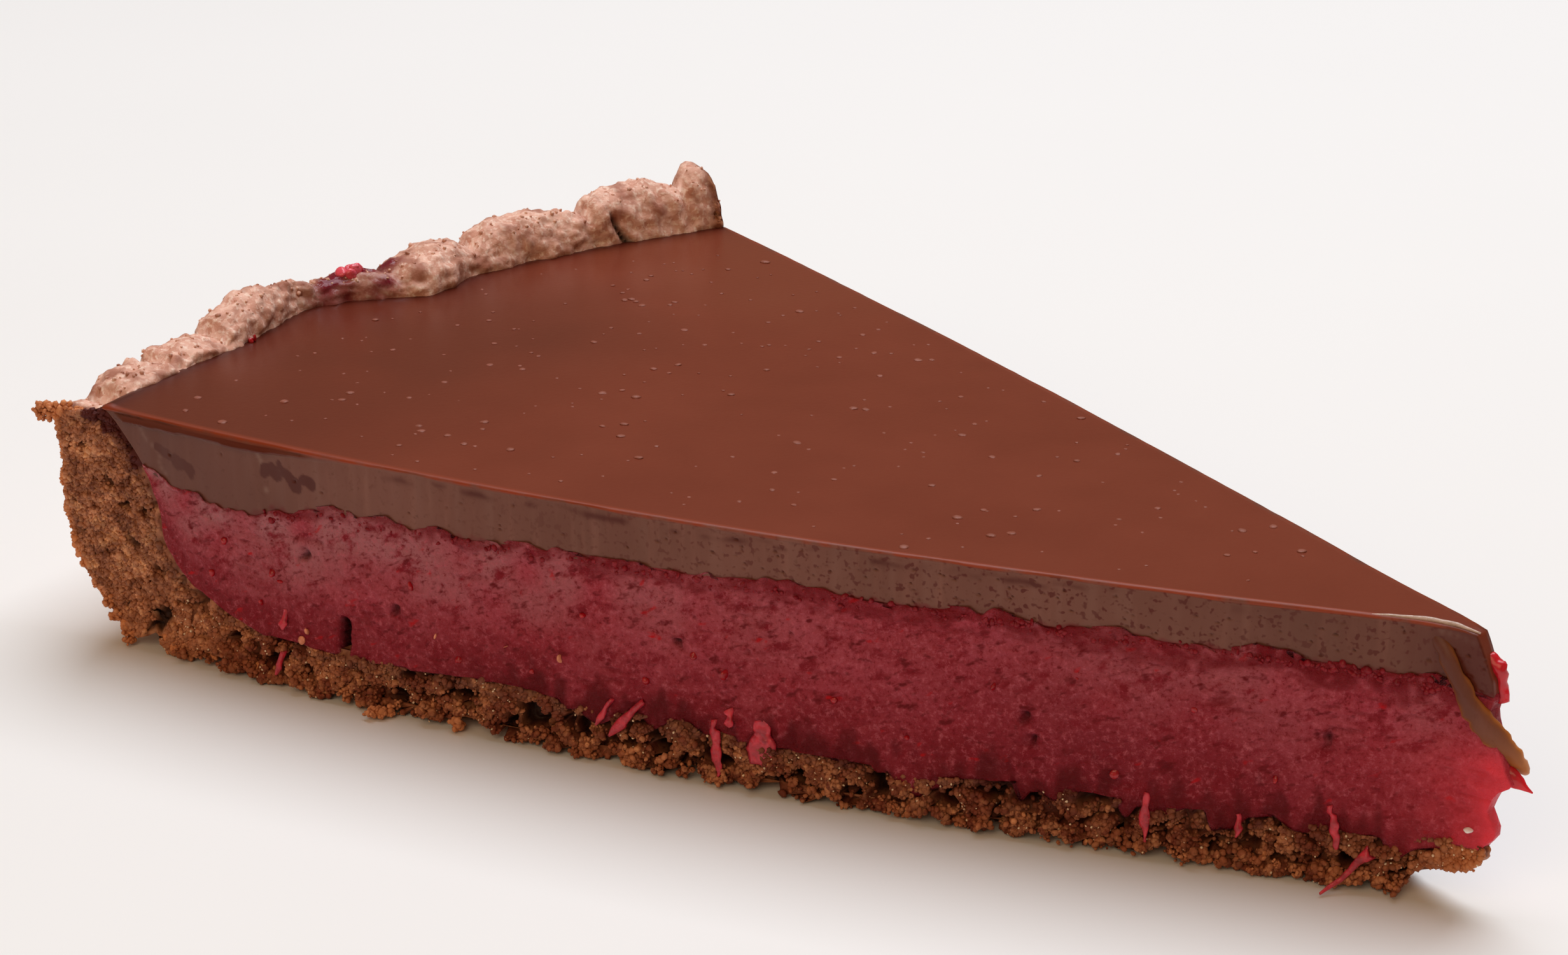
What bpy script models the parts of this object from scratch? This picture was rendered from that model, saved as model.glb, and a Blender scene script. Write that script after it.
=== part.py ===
"""One slice of a chocolate and raspberry tart: a fluted pastry shell, a set raspberry
filling and a chocolate ganache poured level with the rim. The slice is about a tenth
of a round tart baked in a 24 cm tin.

Axes: +X from the rim to the tip, +Z up, the origin under the middle of the slice.
Sizes are in millimetres here and are turned to metres when a point is placed.
"""

import math

import bmesh
import bpy
from mathutils import Vector

MM = 0.001

# The slice in plan. Radii are measured from the middle of the whole tart.
SLICE_ANGLE = 37.8
CENTRE_X = 58.8
TIP_REACH = 2.8
TIP_HALF_WIDTH = 0.8
TIP_FADE = 4.5
TIP_TAPER = 0.15
NEAR_BOW = 4.2
FAR_BOW = 1.3
BOW_SPAN = 115.0

# The pastry shell.
SHELL_RADIUS = 120.3
FOOT_RADIUS = 111.0
WALL_STRAIGHT_FROM = 12.0
CORNER_POWER = 1.7
INNER_FOOT_RADIUS = 97.0
INNER_WALL_RADIUS = 109.3
INNER_FOOT_HEIGHT = 5.0
FLUTE_DEPTH = 0.9
NOTCH_DEPTH = 1.4
RIM_OUTER_HEIGHT = 20.2
RIM_ROUNDNESS = 0.8
RIM_SEAM = 0.2

# Each scallop of the rim: the angle where it ends, in degrees, and its crest height.
SCALLOPS = (
    (-13.6, 22.9),
    (-10.4, 23.4),
    (-3.6, 25.1),
    (0.2, 24.3),
    (5.2, 25.2),
    (11.8, 26.2),
    (17.0, 27.1),
    (SLICE_ANGLE / 2, 27.9),
)
COLUMNS_PER_SCALLOP = 5

# The ganache's top, and how far its edge wanders: (angle, spread in degrees, size).
GANACHE_TOP = 21.7
GANACHE_RADIUS = 114.9
EDGE_WAVES = ((-4.2, 3.6, 3.0), (1.2, 2.4, -2.4))
GAP = 0.3

# Heights along the radius, as (radius, height): the top of the pastry base, and the
# line where the ganache lies on the filling, which dips before it meets the wall.
BASE_TOP = (
    (-4, 4.4), (5, 4.7), (12, 5.6), (20, 4.3), (30, 5.0), (40, 4.5), (50, 4.6),
    (60, 5.4), (68, 5.0), (76, 5.6), (84, 5.0), (92, 4.7), (97, INNER_FOOT_HEIGHT),
)
FILLING_TOP = (
    (-4, 17.1), (12, 17.8), (40, 17.8), (60, 17.3), (76, 17.1), (92, 16.8),
    (97, 16.0), (101, 14.9), (105, 15.4), (108, 16.1), (112, 17.3),
)

# Where the sections have points: radii along the base and in its rounded corner, and
# heights up the inside of the wall, up its outside and round the rim.
ROWS = (0, 1.5, 5, 12, 20, 30, 40, 50, 60, 68, 76, 84, 92, 97)
CORNER_ROWS = (101, 105, 108)
FILLING_LEVELS = (14.0, 16.0)
SHARED_LEVEL = 17.3
GANACHE_LEVELS = (18.6, 20.0)
OUTER_LEVELS = (0.5, 2.0, 4.5, 8.0, 12.0, 18.2)
RIM_STEPS = (0, 18, 36, 54, 72)


def clear_scene():
    for obj in list(bpy.data.objects):
        bpy.data.objects.remove(obj, do_unlink=True)


def finish(name, colour, roughness):
    material = bpy.data.materials.new(name)
    material.use_nodes = True
    shader = material.node_tree.nodes["Principled BSDF"]
    shader.inputs["Base Color"].default_value = (*colour, 1.0)
    shader.inputs["Roughness"].default_value = roughness
    shader.inputs["Metallic"].default_value = 0.0
    return material


def along(points, radius):
    """The height at a radius on a line of (radius, height) points."""
    for (r0, z0), (r1, z1) in zip(points, points[1:]):
        if radius <= r1:
            return z0 + (z1 - z0) * (radius - r0) / (r1 - r0)
    return points[-1][1]


def place(radius, height, angle):
    """A point of the slice: polar round the tart's middle, with a blunt tip and bowed cuts."""
    side = 2 * angle / SLICE_ANGLE
    turn = math.radians(angle)
    reach = max(radius, 0.0)
    beyond = max(-radius, 0.0)
    half_width = TIP_HALF_WIDTH * math.exp(-reach / TIP_FADE) * (1 - TIP_TAPER * beyond)
    x = -reach * math.cos(turn) + beyond
    y = reach * math.sin(turn) + side * half_width
    share = min(reach / BOW_SPAN, 1.0)
    bow = 4 * share * (1 - share) * abs(side) * (NEAR_BOW if side < 0 else FAR_BOW)
    edge = math.radians(SLICE_ANGLE / 2)
    x += bow * math.sin(edge)
    y += bow * math.copysign(math.cos(edge), side)
    return Vector((CENTRE_X + x, y, height)) * MM


def columns():
    """The lofted sections: each one's angle, its share of a scallop's dome, and the crest."""
    found = []
    start = -SLICE_ANGLE / 2
    for end, crest in SCALLOPS:
        for step in range(COLUMNS_PER_SCALLOP):
            share = step / COLUMNS_PER_SCALLOP
            found.append((start + (end - start) * share, math.sin(math.pi * share), crest))
        start = end
    return found + [(start, 0.0, SCALLOPS[-1][1])]


def ganache_edge(angle):
    """The radius where the ganache meets the rim."""
    wander = [
        size * math.exp(-(((angle - middle) / spread) ** 2)) for middle, spread, size in EDGE_WAVES
    ]
    return GANACHE_RADIUS + sum(wander)


def outer_radius(height, dome):
    """The outside of the shell: a rounded foot, then an upright fluted wall."""
    share = min(height / WALL_STRAIGHT_FROM, 1.0)
    swell = (1 - (1 - share) ** CORNER_POWER) ** (1 / CORNER_POWER)
    return FOOT_RADIUS + (SHELL_RADIUS - FOOT_RADIUS) * swell + FLUTE_DEPTH * dome * share


def corner_height(radius):
    """The inside of the rounded corner between the base and the wall."""
    share = (radius - INNER_FOOT_RADIUS) / (INNER_WALL_RADIUS - INNER_FOOT_RADIUS)
    rise = 1 - (1 - share**CORNER_POWER) ** (1 / CORNER_POWER)
    return INNER_FOOT_HEIGHT + (WALL_STRAIGHT_FROM - INNER_FOOT_HEIGHT) * rise


def inner_radius(height, angle):
    """The inside of the wall, which flares out to the edge of the ganache."""
    share = (height - WALL_STRAIGHT_FROM) / (GANACHE_TOP - WALL_STRAIGHT_FROM)
    return INNER_WALL_RADIUS + (ganache_edge(angle) - INNER_WALL_RADIUS) * share**2


def inner_floor():
    """The (radius, height) points of the shell's inside, up to the foot of the straight wall."""
    points = [(radius, along(BASE_TOP, radius)) for radius in (-TIP_REACH, *ROWS)]
    points += [(radius, corner_height(radius)) for radius in CORNER_ROWS]
    return points + [(INNER_WALL_RADIUS, WALL_STRAIGHT_FROM)]


def shell_section(angle, dome, crest):
    """The pastry's under side and upper side, in pairs from the tip to the rim's crest."""
    lower = [(radius, 0.0) for radius in (-TIP_REACH, *ROWS, *CORNER_ROWS, FOOT_RADIUS)]
    lower += [(outer_radius(height, dome), height) for height in OUTER_LEVELS]
    levels = (*FILLING_LEVELS, SHARED_LEVEL, *GANACHE_LEVELS, GANACHE_TOP)
    upper = inner_floor() + [(inner_radius(height, angle), height) for height in levels]
    inner_edge = ganache_edge(angle) + RIM_SEAM
    outer_edge = outer_radius(RIM_OUTER_HEIGHT, dome)
    middle = (inner_edge + outer_edge) / 2
    top = crest - NOTCH_DEPTH * (1 - dome)
    for step in RIM_STEPS:
        lift = math.sin(math.radians(step)) ** RIM_ROUNDNESS
        width = (outer_edge - middle) * math.cos(math.radians(step)) ** RIM_ROUNDNESS
        inner_foot = GANACHE_TOP + RIM_SEAM
        lower.append((middle + width, RIM_OUTER_HEIGHT + (top - RIM_OUTER_HEIGHT) * lift))
        upper.append((middle - width, inner_foot + (top - inner_foot) * lift))
    return lower, [], upper


def filling_section(angle, _dome, _crest):
    """The filling's under side, its side against the wall, and its top."""
    lower = [(radius - GAP, height + GAP) for radius, height in inner_floor()]
    side = [(inner_radius(height, angle) - GAP, height) for height in FILLING_LEVELS]
    radii = [radius for radius, _ in lower[:-1]] + [inner_radius(SHARED_LEVEL, angle) - GAP]
    return lower, side, [(radius, along(FILLING_TOP, radius)) for radius in radii]


def ganache_section(angle, _dome, _crest):
    """The ganache's under side, its side against the wall, and its top."""
    rows = [radius - GAP for radius, _ in inner_floor()[:-1]]
    radii = rows + [inner_radius(SHARED_LEVEL, angle) - GAP]
    lower = [(radius, along(FILLING_TOP, radius) + GAP) for radius in radii]
    side = [(inner_radius(height, angle) - GAP, height) for height in GANACHE_LEVELS]
    upper = [(radius, GANACHE_TOP) for radius in rows + [ganache_edge(angle) - GAP]]
    return lower, side, upper


def cut_faces(ring, rungs):
    """The faces that close one end of a loft: a ladder from the tip, and one face by the wall."""
    count = len(ring)
    faces = [
        (ring[i], ring[i + 1], ring[count - 2 - i], ring[count - 1 - i]) for i in range(rungs - 1)
    ]
    if count > 2 * rungs:
        faces.append(tuple(ring[rungs - 1 : count - rungs + 1]))
    return faces


def loft(name, section, material):
    """Joins one section per column into a closed solid."""
    mesh = bmesh.new()
    rings = []
    for angle, dome, crest in columns():
        lower, side, upper = section(angle, dome, crest)
        outline = lower + side + upper[::-1]
        rings.append([mesh.verts.new(place(radius, height, angle)) for radius, height in outline])
    for ring, following in zip(rings, rings[1:]):
        for i in range(len(ring)):
            mesh.faces.new((ring[i - 1], following[i - 1], following[i], ring[i]))
    for corners in cut_faces(rings[0], len(lower)) + cut_faces(rings[-1], len(lower)):
        mesh.faces.new(corners)
    bmesh.ops.recalc_face_normals(mesh, faces=mesh.faces)
    bmesh.ops.triangulate(mesh, faces=mesh.faces)
    data = bpy.data.meshes.new(name)
    mesh.to_mesh(data)
    mesh.free()
    data.materials.append(material)
    data.shade_smooth()
    data.set_sharp_from_angle(angle=math.radians(35))
    obj = bpy.data.objects.new(name, data)
    bpy.context.scene.collection.objects.link(obj)
    return obj


clear_scene()
loft("crust", shell_section, finish("chocolate_pastry", (0.19, 0.09, 0.05), 0.8))
loft("raspberry_filling", filling_section, finish("raspberry_filling", (0.22, 0.012, 0.03), 0.35))
loft("chocolate_ganache", ganache_section, finish("chocolate_ganache", (0.13, 0.04, 0.022), 0.2))
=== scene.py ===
"""The looks of a slice of chocolate and raspberry tart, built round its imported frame.

The slice is set out in millimetres, polar round the middle of the whole tart: a radius
along the cut, a height above the plate and an angle round the tart, negative on the
near cut. Each layer is a skin lofted round the tart and sewn to a fine grid of points
on each cut, where its crumb, pulp or knife marks are modelled.
"""

import itertools
import math

import bmesh
import bpy
import numpy as np
from mathutils import Matrix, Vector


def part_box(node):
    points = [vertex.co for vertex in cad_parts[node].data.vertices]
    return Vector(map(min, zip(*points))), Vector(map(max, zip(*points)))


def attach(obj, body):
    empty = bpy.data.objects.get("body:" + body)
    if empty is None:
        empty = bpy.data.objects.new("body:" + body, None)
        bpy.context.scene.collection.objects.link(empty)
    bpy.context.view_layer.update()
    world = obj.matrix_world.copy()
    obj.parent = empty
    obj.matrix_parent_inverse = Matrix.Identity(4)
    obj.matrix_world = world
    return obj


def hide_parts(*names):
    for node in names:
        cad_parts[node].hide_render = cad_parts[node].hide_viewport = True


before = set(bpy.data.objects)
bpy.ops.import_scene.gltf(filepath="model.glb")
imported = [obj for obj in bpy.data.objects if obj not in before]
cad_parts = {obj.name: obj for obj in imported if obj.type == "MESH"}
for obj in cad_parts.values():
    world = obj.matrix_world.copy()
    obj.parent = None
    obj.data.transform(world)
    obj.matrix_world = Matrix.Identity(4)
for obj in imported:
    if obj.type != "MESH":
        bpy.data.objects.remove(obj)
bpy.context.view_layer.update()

MM = 0.001

# ---------------------------------------------------------------- the slice in plan

crust_high, ganache_high = (
    np.array(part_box(node)[1]) / MM for node in ("crust", "chocolate_ganache")
)
SLICE_ANGLE = 37.8
TIP_REACH = 2.8
CENTRE_X = crust_high[0] - TIP_REACH
TIP_HALF_WIDTH = 0.8
TIP_FADE = 4.5
TIP_TAPER = 0.15
NEAR_BOW = 4.2
FAR_BOW = 1.3
BOW_SPAN = 115.0
NEAR, FAR = -SLICE_ANGLE / 2, SLICE_ANGLE / 2

# The pastry shell.
SHELL_RADIUS = 120.3
FOOT_RADIUS = 111.0
WALL_STRAIGHT_FROM = 12.0
CORNER_POWER = 1.7
INNER_FOOT_RADIUS = 97.0
INNER_WALL_RADIUS = 109.3
INNER_FOOT_HEIGHT = 5.0
FLUTE_DEPTH = 0.9
RIM_OUTER_HEIGHT = 20.2
# Each scallop of the rim: the angle where it ends, its crest, and how deep its notches are.
SCALLOPS = (
    (-17.2, 20.9, 0.2), (-13.6, 22.9, 1.0), (-10.4, 23.4, 0.8), (-3.6, 25.1, 1.5), (0.2, 24.3, 1.2),
    (5.2, 25.2, 1.8), (11.8, 26.2, 1.9), (17.0, 27.1, 1.6), (FAR, 27.9, 2.4),
)

# The ganache's top and its edge, and the lines between the layers, as (radius, height).
GANACHE_TOP = ganache_high[2]
GANACHE_RADIUS = 114.9
EDGE_WAVES = ((-4.2, 3.6, 3.0), (1.2, 2.4, -2.4))
BASE_TOP = (
    (-4, 5.7), (0, 5.4), (5, 4.9), (12, 5.8), (20, 5.0), (30, 5.2), (40, 4.5), (50, 4.6),
    (60, 5.4), (68, 5.0), (76, 5.6), (84, 5.0), (92, 4.7), (97, INNER_FOOT_HEIGHT),
)
FILLING_TOP = (
    (-4, 17.1), (12, 17.8), (40, 17.8), (60, 17.3), (76, 17.1), (92, 16.8),
    (97, 16.0), (101, 14.9), (105, 15.4), (108, 16.1), (112, 17.3),
)

# How far the cut tip reaches past the tart's middle at each height.
TIP_PROFILE = (
    (0.0, -3.4), (0.4, -2.6), (1.6, -0.2), (2.4, 0.8), (3.0, 1.4), (3.8, 2.6), (4.3, 3.0), (4.8, 3.1),
    (5.1, 2.9), (5.6, 3.2), (6.2, 3.8), (6.6, 3.9), (7.0, 3.8), (7.7, 3.4), (8.2, 3.1), (8.9, 3.3),
    (9.6, 3.6), (10.0, 3.9), (10.6, 4.8), (11.0, 4.6), (11.6, 4.2), (12.6, 3.9), (14.0, 3.3), (15.9, 2.8),
    (17.0, 3.0), (18.2, 2.8), (19.4, 2.3), (20.3, 1.9), (21.3, 1.4), (21.7, 0.9),
)
TIP_START = -2.0
TIP_BLEND = 7.0

# ---------------------------------------------------------------- shape helpers


def kept(value, least=0.0):
    """A value kept from 0, or from a least value, to 1."""
    return np.clip(value, least, 1)


def rise(value, start, end, least=0.0):
    """How far a value is on the way from a start to an end, which may lie below it, from 0 to 1."""
    return kept((value - start) / (end - start), least)


def hump(value, middle, width):
    """1 where a value is at the middle, falling smoothly away over about `width` on both sides."""
    return np.exp(-(((value - middle) / width) ** 2))


def fade(distance, reach):
    """1 up to a line and falling away beyond it, over about `reach` mm."""
    return np.exp(-np.maximum(distance, 0) / reach)


def along(points, radius):
    """The height at each radius on a line of points, rounded between them."""
    radii, heights = (np.array(column, float) for column in zip(*points))
    step = np.clip(np.searchsorted(radii, radius) - 1, 0, len(radii) - 2)
    share = rise(radius, radii[step], radii[step + 1])
    share = share * share * (3 - 2 * share)
    return heights[step] + (heights[step + 1] - heights[step]) * share


def place(radius, height, angle):
    """Points of the slice: polar round the tart's middle, with a blunt tip and bowed cuts."""
    radius, height, angle = (
        array.astype(float) for array in np.broadcast_arrays(radius, height, angle)
    )
    side = 2 * angle / SLICE_ANGLE
    turn = np.radians(angle)
    reach = np.maximum(radius, 0.0)
    beyond = np.maximum(-radius, 0.0)
    half_width = TIP_HALF_WIDTH * fade(radius, TIP_FADE) * np.maximum(1 - TIP_TAPER * beyond, 0.2)
    x = -reach * np.cos(turn) + beyond
    y = reach * np.sin(turn) + side * half_width
    share = np.minimum(reach / BOW_SPAN, 1.0)
    bow = 4 * share * (1 - share) * np.abs(side) * np.where(side < 0, NEAR_BOW, FAR_BOW)
    edge = math.radians(SLICE_ANGLE / 2)
    x = x + bow * math.sin(edge)
    y = y + bow * math.cos(edge) * np.sign(side)
    return np.stack([CENTRE_X + x, y, height], -1)


def cut_normal(angle):
    """The direction that a cut face looks in."""
    edge = math.radians(SLICE_ANGLE / 2)
    return np.array([math.sin(edge), math.copysign(math.cos(edge), angle), 0.0])


def draw_out_tip(line):
    """Moves the (radius, height) points near the tip out to the tip's own ragged profile."""
    line = np.array(line, float)
    heights, reaches = zip(*TIP_PROFILE)
    extra = np.interp(line[..., 1], heights, reaches) + TIP_START
    share = rise(line[..., 0], TIP_START + TIP_BLEND, TIP_START)
    line[..., 0] -= extra * share**2
    return line


def resample(line, count):
    """`count` points evenly along a line."""
    line = np.array(line, float)
    steps = np.hypot(*np.diff(line, axis=0).T)
    length = np.concatenate([[0], np.cumsum(steps)])
    spots = np.linspace(0, length[-1], count)
    return np.stack([np.interp(spots, length, line[:, k]) for k in (0, 1)], -1)


def resample_parts(parts, counts):
    """One line from several joined parts, each with its own number of points."""
    lines = [resample(part, count + 1)[:-1] for part, count in zip(parts, counts)]
    return np.concatenate(lines + [np.array(parts[-1][-1:], float)])


# ---------------------------------------------------------------- noise


def cell_value(cells, seed):
    """A repeatable number from 0 to 1 for each whole-number cell."""
    x, y, z = (cells[..., k].astype(np.int64) for k in range(3))
    mixed = (x * 73856093 ^ y * 19349663 ^ z * 83492791 ^ seed * 49979687) & 0xFFFFFFFF
    mixed = ((mixed ^ (mixed >> 13)) * 1274126177) & 0xFFFFFFFF
    mixed = ((mixed ^ (mixed >> 15)) * 2246822519) & 0xFFFFFFFF
    return ((mixed ^ (mixed >> 16)) & 0xFFFFF) / 0xFFFFF


def swell(points, size, seed=0):
    """Smooth lumps about `size` mm apart, from -1 to 1."""
    spot = points / np.asarray(size, float)
    cell = np.floor(spot)
    share = spot - cell
    share = share * share * (3 - 2 * share)
    total = 0.0
    for corner in itertools.product((0, 1), repeat=3):
        weight = np.prod(np.where(np.array(corner), share, 1 - share), axis=-1)
        total = total + weight * cell_value(cell + corner, seed)
    return 2 * total - 1


def seeds_near(points, size, seed=0):
    """Of seeds strewn `size` mm apart: how far the nearest two are, in sizes, and the nearest's number."""
    spot = points / np.asarray(size, float)
    cell = np.floor(spot)
    nearest = np.full(points.shape[:-1], 9.0)
    second, number = nearest.copy(), nearest.copy()
    for offset in itertools.product((-1, 0, 1), repeat=3):
        other = cell + offset
        seat = np.stack([cell_value(other, seed + k) for k in (11, 12, 13)], -1)
        distance = np.linalg.norm(other + seat - spot, axis=-1)
        second = np.minimum(second, np.maximum(nearest, distance))
        number = np.where(distance < nearest, cell_value(other, seed + 14), number)
        nearest = np.minimum(nearest, distance)
    return nearest, second, number


def grains(points, size, seed=0):
    """Packed round grains about `size` mm across: 1 on a grain's crown, 0 in the gaps."""
    nearest, second, _ = seeds_near(points, size, seed)
    return kept(1 - nearest**2) * (0.35 + 0.65 * rise(second - nearest, 0, 0.35))


def pits(points, spacing, width, chance, seed=0):
    """Round pits `width` mm across where `chance` lets a seed make one: 1 in the middle of a pit."""
    nearest, _, number = seeds_near(points, spacing, seed)
    size = width * (0.5 + 0.5 * number / np.maximum(chance, 1e-6))
    return np.where(number < chance, kept(1 - (nearest * spacing * 2 / size) ** 2), 0)


def dents(line, spots, width):
    """How deep each (radius, height) point is in the dents round some spots, from 0 to 1."""
    depth = np.zeros(line.shape[:-1])
    for spot in spots:
        away = np.linalg.norm(line - np.array(spot), axis=-1)
        depth = np.maximum(depth, hump(away, 0, width / 2))
    return depth


def wobble(line, flat, size, amount, seed):
    """The (radius, height) points moved up to `amount` mm, so that what's drawn on them is uneven."""
    moves = [swell(flat, size, seed + k) for k in (0, 1)]
    return line + amount * np.stack(moves, -1)


def nudged(points, size, amount, seed):
    """Points moved up to `amount` mm, all three ways alike, so that a pattern on them is uneven."""
    return points + amount * swell(points, size, seed)[..., None]


# ---------------------------------------------------------------- mesh making


class Layer:
    """Collects the points and faces of one closed piece, and notes on each point."""

    def __init__(self):
        self.points, self.faces, self.notes, self.count = [], [], {}, 0

    def add(self, points, **notes):
        """Adds points with notes such as soak=0.3, and returns their numbers in the same grid."""
        shape = points.shape[:-1]
        total = int(np.prod(shape))
        for name in sorted({*self.notes, *notes}):
            values = np.broadcast_to(notes.get(name, 0.0), shape).ravel()
            self.notes.setdefault(name, [np.zeros(self.count)]).append(values)
        self.points.append(points.reshape(-1, 3))
        self.count += total
        return np.arange(self.count - total, self.count).reshape(shape)

    def weave(self, numbers, closed=False):
        """Faces between the neighbours of a grid, round and round where it's closed."""
        if closed:
            numbers = np.concatenate([numbers, numbers[:, :1]], axis=1)
        a, b, c, d = numbers[:-1, :-1], numbers[1:, :-1], numbers[1:, 1:], numbers[:-1, 1:]
        self.faces += np.stack([a, b, c, d], -1).reshape(-1, 4).tolist()

    def sew(self, loops, stations):
        """Joins two closed loops whose points are at rising stations that run alongside."""
        at = [0, 0]
        loops = [[*loop, loop[0]] for loop in loops]
        steps = [(station, k) for k in (0, 1) for station in (*stations[k][1:], math.inf)]
        for _, k in sorted(steps):
            self.faces.append([loops[k][at[k]], loops[k][at[k] + 1], loops[1 - k][at[1 - k]]])
            at[k] += 1

    def build(self, name, material):
        points = np.concatenate(self.points)
        notes = {key: np.concatenate(values) for key, values in self.notes.items()}
        return make_piece(name, points, self.faces, material, notes)


def make_piece(name, points, faces, material, notes=None):
    """A smooth-shaded object from points in millimetres, with its notes as attributes."""
    data = bpy.data.meshes.new(name)
    data.from_pydata((points * MM).tolist(), [], faces)
    for key, values in (notes or {}).items():
        data.attributes.new(key, "FLOAT", "POINT").data.foreach_set("value", values)
    sorter = bmesh.new()
    sorter.from_mesh(data)
    bmesh.ops.recalc_face_normals(sorter, faces=sorter.faces)
    sorter.to_mesh(data)
    sorter.free()
    data.shade_smooth()
    data.materials.append(material)
    obj = bpy.data.objects.new(name, data)
    bpy.context.scene.collection.objects.link(obj)
    return obj


def rim_loop(grid):
    """The numbers round the edge of a cut's grid: under side, outer end, upper side, tip."""
    return np.concatenate([grid[:, 0], grid[-1, 1:-1], grid[::-1, -1], grid[0, -2:0:-1]])


def loop_stations(lower_counts, upper_counts, end_steps, tip_steps):
    """Where each point of a loop is: one step a part, out along its under side and back on top."""
    parts = len(lower_counts)
    low, high = (
        np.array([k + i / n for k, n in enumerate(counts) for i in range(n)] + [parts])
        for counts in (lower_counts, upper_counts)
    )
    end = parts + np.arange(1, end_steps - 1) / (end_steps - 1)
    tip = 2 * parts + 1 + np.arange(1, tip_steps - 1) / (tip_steps - 1)
    return np.concatenate([low, end, 2 * parts + 1 - high[::-1], tip])


def ball(level):
    """The points and triangles of a round ball of radius 1."""
    mesh = bmesh.new()
    bmesh.ops.create_icosphere(mesh, subdivisions=level, radius=1.0)
    points = np.array([v.co for v in mesh.verts])
    faces = np.array([[v.index for v in face.verts] for face in mesh.faces])
    mesh.free()
    return points, faces


def scatter(name, centres, sizes, material, seed, level=2, stretch=0.3, squash=(1, 1, 1), **notes):
    """Joined lumps, one at each centre, each turned, stretched and dented its own way."""
    dice = np.random.default_rng(seed)
    count = len(centres)
    points, faces = ball(level)
    turns, _ = np.linalg.qr(dice.normal(size=(count, 3, 3)))
    shapes = points[None] * (1 + stretch * dice.uniform(-1, 1, (count, 1, 3)))
    dented = 1 + 0.22 * swell(points[None] + 7.0 * np.arange(count)[:, None, None], 0.8, seed)
    lumps = np.einsum("nij,npj->npi", turns, shapes * dented[..., None])
    lumps = lumps * np.array(squash) * sizes[:, None, None] / 2 + centres[:, None]
    numbers = faces[None] + len(points) * np.arange(count)[:, None, None]
    spread = {key: np.repeat(values, len(points)) for key, values in notes.items()}
    spread["tint"] = np.repeat(dice.uniform(0.45, 1, count), len(points))
    return make_piece(name, lumps.reshape(-1, 3), numbers.reshape(-1, 3).tolist(), material, spread)


# ---------------------------------------------------------------- materials


def colour(hex_code):
    """An sRGB hex colour as linear red, green, blue and alpha."""
    channels = [int(hex_code[i : i + 2], 16) / 255 for i in (1, 3, 5)]
    linear = [c / 12.92 if c <= 0.04045 else ((c + 0.055) / 1.055) ** 2.4 for c in channels]
    return (*linear, 1.0)


def per_mm(size):
    """A texture scale, in cells a metre, for a pattern `size` mm apart."""
    return 1000.0 / size


def add(tree, kind, inputs=None, output=0, **settings):
    """Adds a shader node with its settings, and its inputs as values or links: one of its outputs."""
    node = tree.nodes.new("ShaderNode" + kind)
    for key, value in settings.items():
        setattr(node, key, value)
    for key, value in (inputs or {}).items():
        if isinstance(value, bpy.types.NodeSocket):
            tree.links.new(value, node.inputs[key])
        else:
            node.inputs[key].default_value = value
    return node.outputs[output]


def paint(tree, tone, coats):
    """Lays coats of colour over a tone in turn.

    Each coat comes with its share: a socket, the name of a note on the mesh, or a pattern
    with the low and high values that it runs between.
    """
    for share, coat in coats:
        if isinstance(share, str):
            share = add(tree, "Attribute", None, "Fac", attribute_name=share)
        elif isinstance(share, tuple):
            pattern, low, high = share
            share = add(tree, "MapRange", {"Value": pattern, "From Min": low, "From Max": high})
        under, over = (colour(c) if isinstance(c, str) else c for c in (tone, coat))
        tone = add(tree, "Mix", {0: share, 6: under, 7: over}, 2, data_type="RGBA")
    return tone


def start_material(name, values):
    """A material with its shader's own values set: its tree, its shader and object coordinates."""
    material = bpy.data.materials.new(name)
    material.use_nodes = True
    tree = material.node_tree
    shader = tree.nodes["Principled BSDF"]
    for key, value in values.items():
        shader.inputs[key].default_value = value
    return material, tree, shader, add(tree, "TexCoord", None, "Object")


def join(tree, shader, sockets):
    """Links sockets to a shader's inputs, by their names."""
    for name, socket in sockets.items():
        tree.links.new(socket, shader.inputs[name])


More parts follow.
